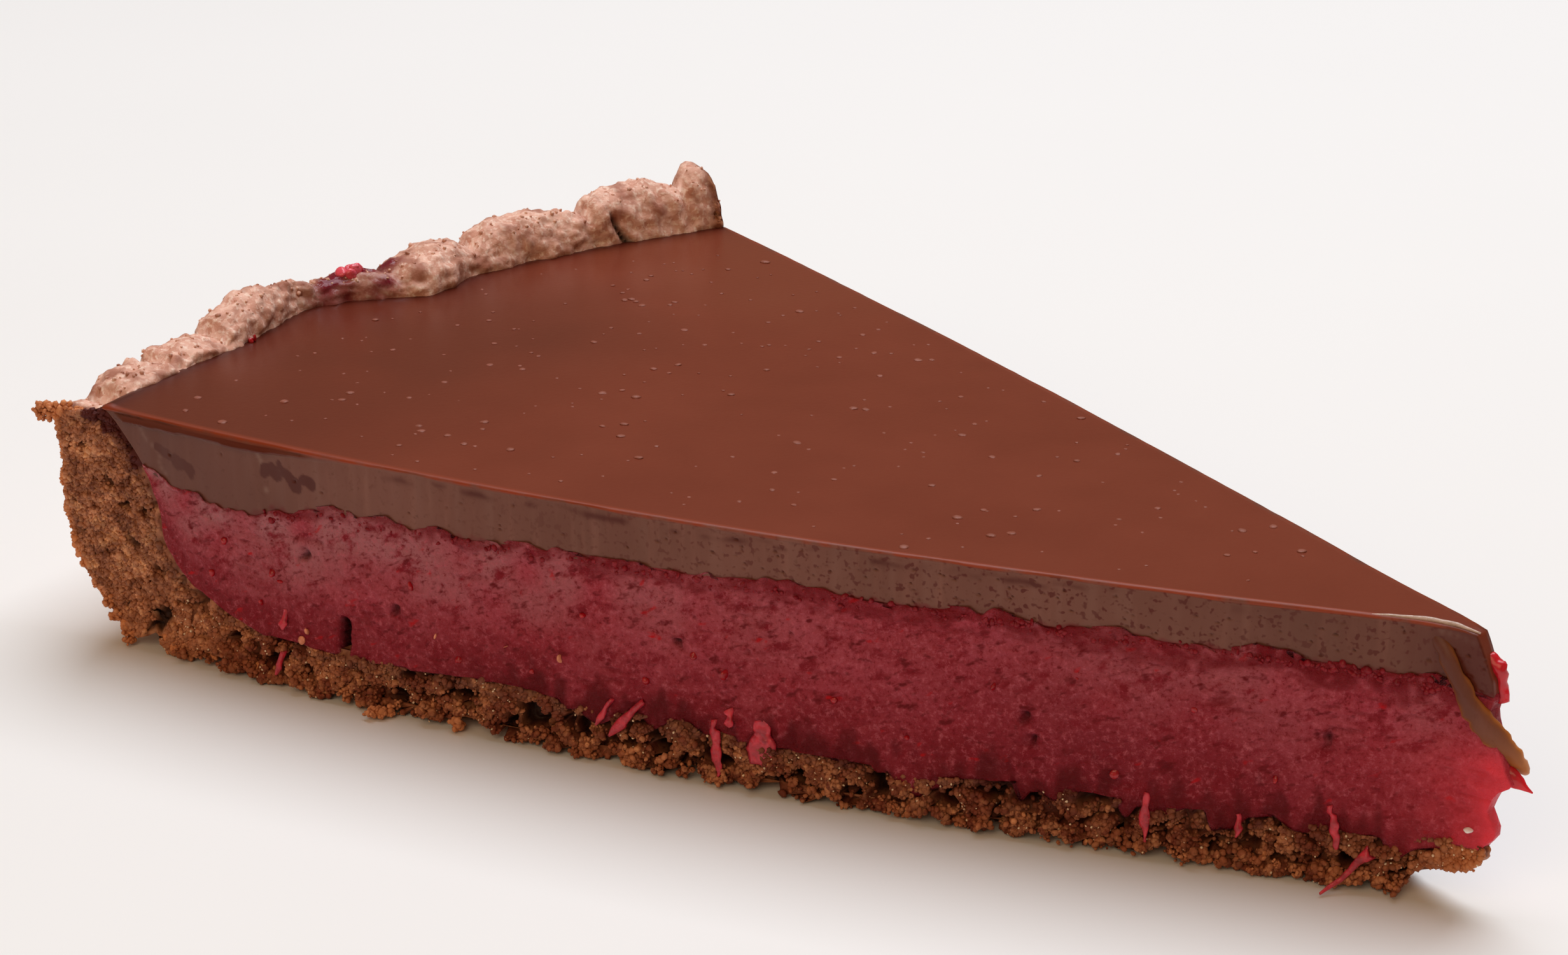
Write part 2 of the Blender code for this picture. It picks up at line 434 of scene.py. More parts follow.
def pastry_finish():
    """Baked cocoa shortcrust: sugary crumbs that glint, painted dark as shade in the gaps, and damp by the
    filling.
    """
    values = {"Specular IOR Level": 0.2}
    material, tree, shader, spot = start_material("baked_cocoa_shortcrust", values)
    crumbs = add(tree, "TexVoronoi", {"Vector": spot, "Scale": per_mm(0.7)}, "Color")
    own_shade = add(tree, "SeparateColor", {"Color": crumbs})
    patches = add(tree, "TexNoise", {"Vector": spot, "Scale": per_mm(2.6), "Detail": 3.0})
    chunks = add(tree, "TexNoise", {"Vector": spot, "Scale": per_mm(1.3)})
    fine = add(tree, "TexNoise", {"Vector": spot, "Scale": per_mm(0.45), "Roughness": 0.6})
    loose = paint(tree, "#904A30", ((own_shade, "#DE9668"), ((patches, 0.42, 0.62), "#843F28")))
    firm = paint(tree, "#AC6C4C", (
        (own_shade, "#DE9A72"), ((patches, 0.4, 0.62), "#9C6246"),
        ((chunks, 0.46, 0.36), "#7E4A32"), ((chunks, 0.55, 0.68), "#EAAA7C"),
    ))
    crumb = paint(tree, loose, (
        ("wall", firm), ((fine, 0.42, 0.3), "#743C22"), ((fine, 0.62, 0.8), "#EBAA74"),
    ))
    # Browned edges, and at the crust's tip a painted glow.
    crumb = paint(tree, "#58281A", (("tint", crumb), ("edge", "#DC8A56")))
    outside = paint(tree, "#C68C76", (
        (own_shade, "#E8BAA6"), ((fine, 0.5, 0.7), "#F2D4C2"), ((patches, 0.52, 0.68), "#A66E5A"),
    ))
    # Hollows and cracks are painted near black as shade.
    tone = paint(tree, outside, (
        ("cut", crumb), ("moist", "#4C1812"), ("soak", "#744A3A"), ("hollow", "#1A0602"),
        ("stain", "#741A2A"),
    ))
    stain = add(tree, "Attribute", None, "Fac", attribute_name="stain")
    rough = add(tree, "MapRange", {"Value": stain, "To Min": 0.6, "To Max": 0.12})
    relief = add(tree, "Bump", {"Height": fine, "Distance": 0.15 * MM, "Strength": 0.5})
    join(tree, shader, {"Base Color": tone, "Roughness": rough, "Normal": relief})
    return material


def raspberry_finish():
    """Set raspberry purée: damp translucent pulp that light sinks into, hazier where the knife dragged."""
    values = {"Subsurface Weight": 0.35, "Subsurface Scale": 1.2 * MM, "Specular IOR Level": 0.16}
    values["Subsurface Radius"] = (1.0, 0.2, 0.2)
    material, tree, shader, spot = start_material("set_raspberry_puree", values)
    slant = {"Vector": spot, "Rotation": (0.0, -0.45, 0.0), "Scale": (1.4, 1.4, 0.75)}
    flat = add(tree, "Mapping", slant, vector_type="TEXTURE")
    clouds = add(tree, "TexNoise", {"Vector": spot, "Scale": per_mm(5.0), "Detail": 3.0})
    pulp, drawn, flecks = (
        add(tree, "TexNoise", {"Vector": at, "Scale": per_mm(size), "Detail": fine, "Roughness": rough})
        for at, size, fine, rough in ((spot, 0.5, 4.0, 0.8), (flat, 1.6, 4.0, 0.6), (flat, 0.9, 2.0, 0.6))
    )
    skins = add(tree, "TexNoise", {"Vector": flat, "Scale": per_mm(1.4)})
    # Holes and pocks are painted near black as shade.
    tone = paint(tree, "#A02838", (
        ((clouds, 0.35, 0.65), "#AA3648"), ("haze", "#AA6A70"), ("low", "#7C1420"),
        ("deep", "#84202E"), ((drawn, 0.47, 0.34), "#861424"), ((pulp, 0.52, 0.74), "#C4606E"),
        ((pulp, 0.46, 0.32), "#7A0C1A"), ((flecks, 0.58, 0.72), "#6E0A16"),
        ((skins, 0.68, 0.76), "#BC0A18"), ("wet", "#760A16"), ("hollow", "#300206"),
        ("glow", "#EC4454"),
    ))
    wet = add(tree, "Attribute", None, "Fac", attribute_name="wet")
    rough = add(tree, "MapRange", {"Value": wet, "To Min": 0.42, "To Max": 0.3})
    relief = add(tree, "Bump", {"Height": pulp, "Distance": 0.3 * MM, "Strength": 1.0})
    join(tree, shader, {"Base Color": tone, "Roughness": rough, "Normal": relief})
    return material


def ganache_finish():
    """Chocolate ganache: set to a soft gloss where poured, and satin, greyer and pitted where cut."""
    values = {"Specular IOR Level": 0.25, "Subsurface Weight": 0.1, "Subsurface Scale": 1.2 * MM}
    values["Subsurface Radius"] = (1.0, 0.4, 0.25)
    material, tree, shader, spot = start_material("poured_chocolate_ganache", values)
    clouds = add(tree, "TexNoise", {"Vector": spot, "Scale": per_mm(9.0)})
    fine = add(tree, "TexNoise", {"Vector": spot, "Scale": per_mm(0.5), "Roughness": 0.6})
    tall = add(tree, "Mapping", {"Vector": spot, "Scale": (1.0, 1.0, 0.12)})
    drags = add(tree, "TexNoise", {"Vector": tall, "Scale": per_mm(1.1), "Detail": 3.0})
    specks = add(tree, "TexNoise", {"Vector": spot, "Scale": per_mm(0.48), "Detail": 1.0})
    specks = add(tree, "MapRange", {"Value": specks, "From Min": 0.58, "From Max": 0.66})
    specked, cut_share, lip, gloss = (
        add(tree, "Attribute", None, "Fac", attribute_name=name)
        for name in ("specked", "cut", "lip", "gloss")
    )
    specks = add(tree, "Math", {0: specks, 1: specked}, operation="MULTIPLY")
    # The top is painted darker near the rim as shade, and lighter by the far cut as a painted sheen.
    top = paint(tree, "#6F2D1A", (
        ((clouds, 0.3, 0.7), "#75321F"), ("bloom", "#763622"), ("rich", "#632716"),
    ))
    # The pale scars include painted glints.
    cut = paint(tree, "#6B4032", (
        ((clouds, 0.35, 0.65), "#76493C"), ((drags, 0.55, 0.8), "#7E5042"),
        ((fine, 0.6, 0.8), "#643628"), (specks, "#581E10"), ("pit", "#521A10"),
        ("scar", "#A08072"), ("smear", "#4E1604"), ("gloss", "#561A0C"), ("juice", "#6C1418"),
        ("rich", "#5A3024"),
    ))
    # A painted amber glow at the drip's thin edges and end.
    # Painted shade and reflection where the top meets the rim.
    tone = paint(tree, top, (
        ("cut", cut), ("seam", "#48180E"), ("lip", "#8A3412"), ("edge_glow", "#D07E30"),
    ))
    matt = add(tree, "Math", {0: cut_share, 1: lip}, operation="ADD")
    matt = add(tree, "Math", {0: matt, 1: gloss}, operation="SUBTRACT")
    rough = add(tree, "MapRange", {"Value": matt, "To Min": 0.28, "To Max": 0.44})
    relief = add(tree, "Bump", {"Height": fine, "Distance": 0.03 * MM, "Strength": 0.3})
    join(tree, shader, {"Base Color": tone, "Roughness": rough, "Normal": relief})
    return material


def plain_finish(name, hex_code, values, size=0.6, darker=0.5):
    """A small piece's finish: one colour with darker flecks `size` mm across."""
    material, tree, shader, spot = start_material(name, values)
    *channels, alpha = colour(hex_code)
    flecks = add(tree, "TexNoise", {"Vector": spot, "Scale": per_mm(size)})
    flecks = add(tree, "MapRange", {"Value": flecks, "From Min": 0.35, "From Max": 0.75})
    tone = paint(tree, hex_code, ((flecks, (*(darker * c for c in channels), alpha)),))
    relief = add(tree, "Bump", {"Height": flecks, "Distance": 0.1 * MM, "Strength": 0.6})
    join(tree, shader, {"Base Color": tone, "Normal": relief})
    return material


def wet_fruit(roughness, weight=0.3, depth=1.0):
    """The shader's values for wet fruit that light sinks `depth` mm into."""
    return {"Roughness": roughness, "Subsurface Weight": weight, "Subsurface Scale": depth * MM}


# ---------------------------------------------------------------- the sections


def pairs(radii, heights):
    return np.stack(np.broadcast_arrays(radii, heights), -1).astype(float)


def scallop(angle):
    """How far up its scallop's dome an angle is, from 0 in the notches to 1, and the rim's height."""
    ends = [end for end, _, _ in SCALLOPS]
    index = min(int(np.searchsorted(ends, angle)), len(ends) - 1)
    start = ends[index - 1] if index else NEAR
    share = min(max((angle - start) / (ends[index] - start), 0), 1)
    dome = math.sin(math.pi * share)
    return dome, SCALLOPS[index][1] - SCALLOPS[index][2] * (1 - dome**0.5)


def ganache_edge(angle):
    """The radius where the ganache meets the rim."""
    waves = [size * hump(angle, middle, spread) for middle, spread, size in EDGE_WAVES]
    return GANACHE_RADIUS + sum(waves)


def outer_radius(height, dome):
    """The outside of the shell: a rounded foot, then an upright fluted wall."""
    share = np.minimum(height / WALL_STRAIGHT_FROM, 1.0)
    foot = (1 - (1 - share) ** CORNER_POWER) ** (1 / CORNER_POWER)
    return FOOT_RADIUS + (SHELL_RADIUS - FOOT_RADIUS) * foot + FLUTE_DEPTH * dome * share


def inner_radius(height, angle):
    """The inside of the wall, which flares out to the edge of the ganache."""
    share = (height - WALL_STRAIGHT_FROM) / (GANACHE_TOP - WALL_STRAIGHT_FROM)
    return INNER_WALL_RADIUS + (ganache_edge(angle) - INNER_WALL_RADIUS) * share**2


BASE_RADII = np.linspace(TIP_START, INNER_FOOT_RADIUS, 120)
CORNER_SHARE = np.sin(np.linspace(0, math.pi / 2, 24))
CORNER = pairs(
    INNER_FOOT_RADIUS + (INNER_WALL_RADIUS - INNER_FOOT_RADIUS) * CORNER_SHARE,
    INNER_FOOT_HEIGHT
    + (WALL_STRAIGHT_FROM - INNER_FOOT_HEIGHT)
    * (1 - (1 - CORNER_SHARE**CORNER_POWER) ** (1 / CORNER_POWER)),
)
FOOT_TOP = 7.3
UNDERSIDE_NOTCH = ((TIP_START, 3.6), (-0.6, 2.5), (0.1, 3.0), (1.2, 2.7), (2.2, 0.9), (2.7, 0.1), (5.0, 0.0))
RIM_STEEPEST = 78


def shell_section(angle):
    """The pastry's under side and upper side, each in four parts from the tip to the crest."""
    dome, top = scallop(angle)
    foot = np.linspace(0, FOOT_TOP, 20)
    outside = np.linspace(FOOT_TOP, RIM_OUTER_HEIGHT, 12)
    inside = np.linspace(WALL_STRAIGHT_FROM, GANACHE_TOP, 12)
    turn = np.radians(np.linspace(0, RIM_STEEPEST, 12))
    outer_edge = outer_radius(RIM_OUTER_HEIGHT, dome)
    middle = (ganache_edge(angle) + outer_edge) / 2
    across, lift = (outer_edge - middle) * np.cos(turn) ** 0.8, np.sin(turn) ** 0.8
    underside = np.interp(BASE_RADII, *zip(*UNDERSIDE_NOTCH))
    under = (
        pairs(BASE_RADII, underside),
        np.concatenate([[(INNER_FOOT_RADIUS, 0)], pairs(outer_radius(foot, dome), foot)]),
        pairs(outer_radius(outside, dome), outside),
        pairs(middle + across, RIM_OUTER_HEIGHT + (top - RIM_OUTER_HEIGHT) * lift),
    )
    upper = (
        pairs(BASE_RADII, along(BASE_TOP, BASE_RADII)),
        CORNER,
        pairs(inner_radius(inside, angle), inside),
        pairs(middle - across, GANACHE_TOP + (top - GANACHE_TOP) * lift),
    )
    return under, upper


FILLING_SINK = 0.45
FILLING_END = 17.3


def filling_section(angle):
    """The filling, sunk a little way into the pastry's crumb: up its base, corner and wall."""
    inside = np.linspace(WALL_STRAIGHT_FROM, FILLING_END, 8)
    wall = pairs(inner_radius(inside, angle) + FILLING_SINK, inside)
    base = pairs(BASE_RADII, along(BASE_TOP, BASE_RADII) - FILLING_SINK)
    corner = CORNER + np.array([FILLING_SINK, -FILLING_SINK])
    reach = np.linspace(INNER_FOOT_RADIUS, wall[-1, 0], 20)
    under = (base, np.concatenate([corner, wall]))
    upper = (pairs(BASE_RADII, along(FILLING_TOP, BASE_RADII)), pairs(reach, along(FILLING_TOP, reach)))
    return under, upper


GANACHE_SINK = 0.15
GANACHE_INTO_WALL = 0.5
GANACHE_SIDE_TOP = GANACHE_TOP - 0.25
TIP_DROP = 0.35
TIP_SLOPE = 5.0


def ganache_section(angle):
    """The ganache: over the filling, up the flare of the wall, and level on top."""
    inside = np.linspace(FILLING_END, GANACHE_SIDE_TOP, 8)
    start = inner_radius(FILLING_END, angle)
    reach = np.linspace(TIP_START, start, 140)
    wall = pairs(inner_radius(inside, angle) + GANACHE_INTO_WALL, inside)
    under = (pairs(reach, along(FILLING_TOP, reach) - GANACHE_SINK), wall)
    drop = TIP_DROP * rise(reach, TIP_START + TIP_SLOPE, TIP_START) ** 2
    end = np.array([start, ganache_edge(angle) + 0.6])
    return under, (pairs(reach, GANACHE_TOP - drop), pairs(end, GANACHE_TOP))


# ---------------------------------------------------------------- lofting a layer

EDGE_ROUNDING = 0.22
PLATE_CLEARANCE = 0.02


def edge_distance(radius):
    """How far a cut is from the middle line of the slice."""
    blunt = 0.7 * TIP_HALF_WIDTH * fade(radius, TIP_FADE)
    return blunt + np.maximum(radius, 0.0) * math.sin(math.radians(FAR))


def ring_of(section, angle, counts, end_steps, tip_steps):
    """The closed outline of a layer at an angle: under side, outer end, upper side and tip."""
    under, upper = section(angle)
    low, high = resample_parts(under, counts[0]), resample_parts(upper, counts[1])
    end = resample((low[-1], high[-1]), end_steps)[1:-1]
    tip = resample((high[0], low[0]), tip_steps)[1:-1]
    return draw_out_tip(np.concatenate([low, end, high[::-1], tip]))


def outward(line, angles):
    """The directions that a loft's skin looks in, from its rings of (radius, height) points."""
    run = np.roll(line, -1, axis=0) - np.roll(line, 1, axis=0)
    run /= np.maximum(np.linalg.norm(run, axis=-1, keepdims=True), 1e-6)
    turn = np.radians(np.broadcast_to(angles, line.shape[:-1]))
    return np.stack([-np.cos(turn) * run[..., 1], np.sin(turn) * run[..., 1], -run[..., 0]], -1)


def loft(name, section, cuts, skin, columns, cut_look, skin_look, material):
    """One layer: a grid of points on each cut, and a skin round the tart sewn to both."""
    piece, loops, cut_grids = Layer(), [], []
    for angle, (counts, across) in zip((NEAR, FAR), cuts):
        under, upper = section(angle)
        low, high = resample_parts(under, counts), resample_parts(upper, counts)
        share = np.linspace(0, 1, across)[:, None]
        line = draw_out_tip(low[:, None] * (1 - share) + high[:, None] * share)
        line, bulge, notes = cut_look(line, np.broadcast_to(share[:, 0], line.shape[:-1]), angle)
        points = place(line[..., 0], line[..., 1], angle) + bulge[..., None] * cut_normal(angle)
        points[..., 2] = np.maximum(points[..., 2], PLATE_CLEARANCE)
        numbers = piece.add(points, cut=1.0, **notes)
        piece.weave(numbers)
        loops.append((rim_loop(numbers), loop_stations(counts, counts, across, across)))
        cut_grids.append((points, notes))
    skin_stations = loop_stations(*skin[0], *skin[1:])
    angles = np.linspace(NEAR, FAR, columns)
    line = np.stack([ring_of(section, angle, *skin) for angle in angles], 1)
    inset = 1 - EDGE_ROUNDING / edge_distance(line[..., 0])
    points = place(line[..., 0], line[..., 1], angles * inset)
    push, notes = skin_look(points, line, np.broadcast_to(angles, line.shape[:-1]))
    points = points + push[..., None] * outward(line, angles)
    points[..., 2] = np.maximum(points[..., 2], PLATE_CLEARANCE)
    numbers = piece.add(points, **notes)
    piece.weave(numbers.T, closed=True)
    for (loop, stations), column in zip(loops, (0, -1)):
        piece.sew((loop, numbers[:, column]), (stations, skin_stations))
    return piece.build(name, material), *cut_grids, points


# ---------------------------------------------------------------- the pastry

# About how thick the pastry is, and how far it is across the wall or the filling, in
# millimetres, to turn a share of the way across a cut into a depth.
BASE_THICKNESS = 5.0
WALL_THICKNESS = 8.0
CUT_DEPTH = 12.0

# Holes in the base's crumb and pores in the wall's, as (radius, height), and where the wall's
# foot gapes.
PASTRY_HOLES = (
    (79.1, 2.2), (75.2, 1.3), (78.7, 5.1), (85, 1.6), (40.6, 4.9), (43.2, 4.5), (37.3, 2.2),
    (31.3, 3.2), (48.7, 1.6), (43.6, 2.1), (25.9, 4.3), (16.3, 3.4), (12.7, 5.0), (7.4, 2.1),
    (57.2, 2.6), (56.0, 2.4), (68.3, 2.6), (103.0, 2.7), (112.2, 1.0), (111.7, 1.8), (111.3, 2.6),
    (110.8, 3.5), (73.0, 2.6), (72.2, 2.7), (61.0, 1.7), (33.5, 4.6),
)
WALL_PORES = (
    (118.1, 17.8), (115.9, 15.1), (115.6, 14.7), (114.1, 13.0), (112.2, 12.9), (113.9, 10.3),
    (113.4, 10.0), (111.0, 8.2), (108.2, 7.2),
)
SHELL_GAP = 111.9
# Where the top corner soaked up ganache, and where raspberry stains the rim, as (radius, angle).
GANACHE_SOAKED = (
    (116.2, 21.3), (115.2, 20.9), (114.2, 20.6), (113.3, 19.9), (112.5, 19.1), (111.9, 18.2),
)
RIM_STAINS = (
    (117.6, -3.4), (117.8, -2.8), (118.2, -2.2), (118.0, -1.6), (117.8, -1.0), (117.6, -0.4), (118.0, 0.1),
    (116.2, -2.6), (116.0, -1.6), (116.2, -0.8),
)
# The rim's crack: its angle at the top, and how many degrees it slants in a millimetre down.
RIM_CRACK = 12.6
CRACK_TOP = 25.5
CRACK_SLANT = 0.25


def pastry_cut(line, share, angle):
    """Crumb on a cut: clumps of fused grains with hollows between them painted dark as shade, tighter in the
    wall.
    """
    flat = place(line[..., 0], line[..., 1], angle)
    radius, height = line[..., 0], line[..., 1]
    wall = np.maximum(rise(height, 6, 11), rise(radius, 103, 111))
    below = (1 - share) * np.where(radius < INNER_FOOT_RADIUS, BASE_THICKNESS, WALL_THICKNESS)
    damp = kept(2.2 - below / 0.85 + 0.8 * swell(flat, 1.5, 6))
    damp = damp * rise(height, GANACHE_TOP, GANACHE_TOP - 3)
    uneven = wobble(line, flat, 0.9, 0.55, 18)

    # Hollows: crevices between the clumps, caverns in the loose base, and pores in the wall.
    near, second, _ = seeds_near(nudged(flat, 1.2, 0.5, 9), (2.6, 2.6, 2.2), 1)
    crevice = rise(second - near, 0.22, 0) * kept(0.5 + swell(flat, 3.5, 7))
    caverns = pits(nudged(flat, 0.9, 0.6, 15) * (0.6, 0.6, 1.2), 1.7, 1.5, 0.36, 4)
    holes = 1.3 * dents(wobble(uneven, flat, 1.8, 0.8, 68), PASTRY_HOLES, 1.5)
    holes = kept(holes + (1 - 0.8 * wall) * caverns)
    pores = wall * pits(nudged(flat, 0.7, 0.4, 64), 1.7, 0.9, 0.42, 17)
    pores = np.maximum(pits(flat, 0.9, 0.5, 0.2, 10), pores)
    pores = kept(np.maximum(pores, 1.5 * dents(uneven, WALL_PORES, 0.7)))
    hollow = np.maximum(0.9 * crevice * (1 - 0.8 * wall), holes)
    hollow = kept(hollow * (1 - 0.4 * damp))

    # Relief: clumps and grains, less the hollows, drawn in under the filling.
    loose = (1 - 0.75 * wall) * (1 - 0.35 * damp)
    clumps = 0.7 * (1 - near) + 0.4 * swell(flat, 1.6, 11)
    grain = 0.3 * swell(flat, 1.0, 12) + 0.16 * swell(flat, 0.5, 13)
    bulge = loose * (clumps - 0.25) + (1 - 0.3 * wall) * grain
    bulge = bulge - 2.2 * hollow * (1 - 0.5 * wall) - 0.8 * pores - 0.55 * hump(below, 0, 0.5)
    ragged = 0.2 + 1.5 * np.maximum(swell(flat * (1, 1, 0), 2.2, 5), 0)
    ragged = ragged + 0.6 * crevice + 0.6 * caverns
    ragged = np.where(radius < FOOT_RADIUS - 1.5, ragged, 2.2 * hump(radius, SHELL_GAP, 1.1))
    line = line + pairs(0.0, (1 - share) ** 3 * ragged * (height < 3))

    # Where juice and ganache darkened it, how shaded it is, its browner edges, and a painted glow at the
    # tip.
    dipped = 2.6 * dents(uneven, GANACHE_SOAKED, 2.6)
    dipped = kept(dipped - 0.3 + 0.5 * swell(flat, 0.7, 14))
    juiced = damp * rise(radius, 80, 60, 0.15) * kept(0.5 + 1.3 * swell(flat, 1.3, 19))
    # The base is also darker towards the tip.
    moist = 0.25 * rise(radius, 95, 35) * (1 - wall)
    moist = np.maximum(np.maximum(moist, 0.9 * juiced), dipped)
    soak = damp * kept(0.65 + 0.7 * swell(flat, 0.7, 20)) * (1 - moist)
    inward = wall * rise(share, 0.15, 0.5) * rise(height, 6, 9) * rise(height, 18, 14)
    tint = 0.5 + 0.5 * wall - 0.5 * inward + 0.2 * damp + 0.4 * rise(radius, 90, 102)
    edge = rise(CUT_DEPTH * share, 0.9, 0) * wall * kept(0.8 + 0.6 * swell(flat, 1.1, 16))
    edge = np.maximum(edge, 0.3 * rise(height, 7, 3) * rise(radius, 101, 107))
    # The crust's tip is painted bright as a glow of light through the thin crust.
    edge = np.maximum(edge, 1.3 * fade(radius - TIP_START, 3.0))
    # Hollows and pores are painted dark as shade.
    dark = kept(1.4 * hollow + 0.8 * pores)
    return line, bulge, {
        "soak": 0.9 * soak, "moist": moist, "tint": kept(tint), "hollow": 0.95 * dark,
        "wall": wall, "edge": 0.7 * edge,
    }


def pastry_skin(points, line, angles):
    """The baked outside: lumpy round the rim, pressed smoother down the wall."""
    radius, height = line[..., 0], line[..., 1]
    rim = rise(height, 19, 22)
    push = 0.35 * swell(points, 3.1, 21) + 0.22 * swell(points, 1.3, 22)
    push = push + 0.24 * swell(points, 0.75, 24) + 0.26 * grains(points, 1.1, 23) - 0.2
    push = (0.2 + 0.8 * rim) * push
    slant = RIM_CRACK + CRACK_SLANT * (CRACK_TOP - height)
    off_crack = np.abs(np.radians(angles - slant) * 117 + 0.5 * swell(points, 2, 25))
    crack = kept(1.1 - off_crack / 0.42) * rise(height, CRACK_TOP, CRACK_TOP - 1, 0.15) * rim
    stain = np.zeros(angles.shape)
    for stain_radius, angle in RIM_STAINS:
        away = np.hypot(radius - stain_radius, np.radians(angles - angle) * stain_radius)
        stain = np.maximum(stain, kept(2.0 - away / 1.3))
    stain = stain * kept(0.95 + 0.7 * swell(points, 1.6, 26))
    # The under side is pared away along the cuts, and the foot is broken where it leaves the plate.
    from_cut = np.radians(np.minimum(angles - NEAR, FAR - angles)) * np.abs(radius)
    under = (height < 0.4) & (radius < FOOT_RADIUS)
    gap = hump(radius, SHELL_GAP, 1.2) * hump(from_cut, 0, 2.2) * (height < 2) * (angles < 0)
    push = push - 0.8 * crack - 1.6 * gap - 1.1 * under * hump(from_cut, 0, 1.2)
    browned = np.maximum(height < 2.5, kept(1.8 - from_cut))
    # The crack is painted dark as shade.
    return push, {"stain": stain * rim, "tint": 0.6, "wall": 0.5, "cut": browned, "hollow": crack}


pastry = pastry_finish()
shell, shell_near, _, shell_skin = loft(
    "pastry_shell", shell_section,
    cuts=(((640, 96, 66, 28), 54), ((230, 34, 26, 14), 18)),
    skin=(((24, 30, 28, 20), (28, 12, 10, 24)), 9, 14),
    columns=220, cut_look=pastry_cut, skin_look=pastry_skin, material=pastry,
)
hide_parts("crust")

# ---------------------------------------------------------------- the raspberry filling

FILLING_HOLES = ((59.6, 11.5), (31.3, 10.0), (30.8, 8.3), (9.1, 11.6), (85.7, 9.5), (94.6, 12.6))
FILLING_SLOT = ((90.9, 7.2), (90.9, 6.6), (91.0, 6.0), (91.0, 5.4), (91.1, 4.8), (91.1, 4.2))
# How deep the wet pulp is under the ganache, as (radius, depth).
WET_BAND = ((0, 1.7), (40, 1.3), (85, 0.7), (96, 0.5), (112, 0.5))


def filling_cut(line, share, angle):
    """The filling where the knife went: damp pulp, a few holes, tongues over the crust."""
    flat = place(line[..., 0], line[..., 1], angle)
    level = flat * (1, 1, 0)
    radius = line[..., 0]
    above, below_top = CUT_DEPTH * share, CUT_DEPTH * (1 - share)
    tongues = 2.4 * np.maximum(swell(level, 1.5, 31), 0) ** 1.2 * rise(radius, 82, 62, 0.15)
    fray = 0.55 * swell(level, 2.4, 37) + 0.38 * swell(level, 0.9, 38) + 0.15
    line = line + pairs(0.0, share**6 * fray - (1 - share) ** 6 * tongues)

    # A wet band under the ganache, and painted shade between the tongues along the crust, also drawn wet.
    band = np.interp(radius, *zip(*WET_BAND)) * (1 + 0.4 * swell(flat, (3, 3, 0.8), 53))
    wet = kept(0.7 + (band - below_top) / 0.6 + 1.2 * swell(flat, (0.8, 0.8, 0.35), 35))
    wet = wet * kept(1.2 - below_top / (2.2 * band)) * kept(1.25 + 0.8 * swell(flat, 6.0, 30))
    wet_shade_by_crust = kept(1.1 - above / 1.7 + 1.1 * swell(flat, (0.8, 0.8, 1.6), 50))
    wet_shade_by_crust = wet_shade_by_crust * rise(radius, 84, 72) * rise(radius, 0, 4)

    # Relief: drags of the knife, pocks, holes and streaks.
    pocks = pits(flat, 1.8, 0.8, 0.14, 40)
    holes = 0.8 * dents(wobble(line, flat, 0.6, 0.35, 61), FILLING_HOLES, 0.85)
    holes = np.maximum(holes, 1.9 * dents(line, FILLING_SLOT, 0.8))
    streaks = rise(swell(flat, (1.5, 1.5, 0.35), 51), 0.42, 0.62)
    streaks = streaks * kept(0.3 + 1.2 * swell(flat, 4.0, 52))
    drag = swell(flat, (0.9, 0.9, 4.0), 32) * rise(line[..., 1], 9, 5)
    bulge = 0.12 * swell(flat, 5.0, 33) + 0.12 * drag + 0.1 * swell(flat, 1.1, 34)
    bulge = bulge + 0.08 * swell(flat, 0.5, 39) - 0.3 * pocks
    top = rise(share, 0.88, 0.96)
    bulge = 0.2 + (1 - 0.7 * top) * bulge - 1.0 * holes - 0.12 * streaks + 0.06 * top
    bulge = bulge + 0.1 * wet * swell(flat, 0.4, 60)

    # Colour: hazy high up, deep red low down and in the middle, glowing at the tip, with painted shade in
    # the holes.
    wet = np.maximum(wet * np.interp(radius, (20, 60), (1.0, 0.8)), 0.85 * wet_shade_by_crust)
    wet = wet * kept(0.9 + 0.8 * swell(flat, 0.55, 28) + 0.6 * swell(flat, 1.6, 29), 0.1)
    low = kept(1.3 - above / 4.5 + 0.4 * swell(flat, (2, 2, 1), 54))
    low = low * kept(0.85 + 0.6 * swell(flat, 5.0, 24), 0.2)
    haze = rise(radius, 30, 80) + 0.55 * rise(radius, 45, 25)
    haze = haze * (1 - low) * kept(1.3 - below_top / 8, 0.4) * kept(0.7 + 0.6 * swell(flat, 3.0, 36))
    deep = 0.75 * kept(1.6 * (1 - share)) * hump(radius, 26, 17)
    deep = deep * kept(0.9 + 0.6 * swell(flat, 4.0, 27))
    to_end = np.maximum(radius + 3.5, 0) + 0.9 * swell(flat, 1.2, 58)
    glow = fade(to_end, 2.8) * rise(line[..., 1], 14.5, 11.5, 0.1)
    return line, bulge, {
        "wet": kept(np.maximum(wet, 0.6 * streaks)), "deep": deep, "low": 0.85 * low,
        "haze": kept(0.8 + (radius - 88) / 40, 0.8) * haze,
        "hollow": kept(holes + 0.3 * pocks + 0.4 * wet_shade_by_crust), "glow": glow,
    }


def filling_skin(points, line, angles):
    """The filling's hidden sides, and its torn end at the tip."""
    tip = rise(line[..., 0], 2, -1)
    push = 0.05 * swell(points, 2.0, 48) + 0.2 * tip * swell(points, 0.8, 49)
    return push, {"glow": 0.8 * tip * rise(line[..., 1], 13.5, 10.5, 0.1), "wet": 0.5 * tip}


filling, *_ = loft(
    "raspberry_layer", filling_section,
    cuts=(((560, 100), 72), ((160, 30), 20)),
    skin=(((24, 10), (16, 6)), 4, 40),
    columns=24, cut_look=filling_cut, skin_look=filling_skin, material=raspberry_finish(),
)
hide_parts("raspberry_filling")

# ---------------------------------------------------------------- the ganache

LIP_THICKNESS = 0.24
GANACHE_DEPTH = 4.2
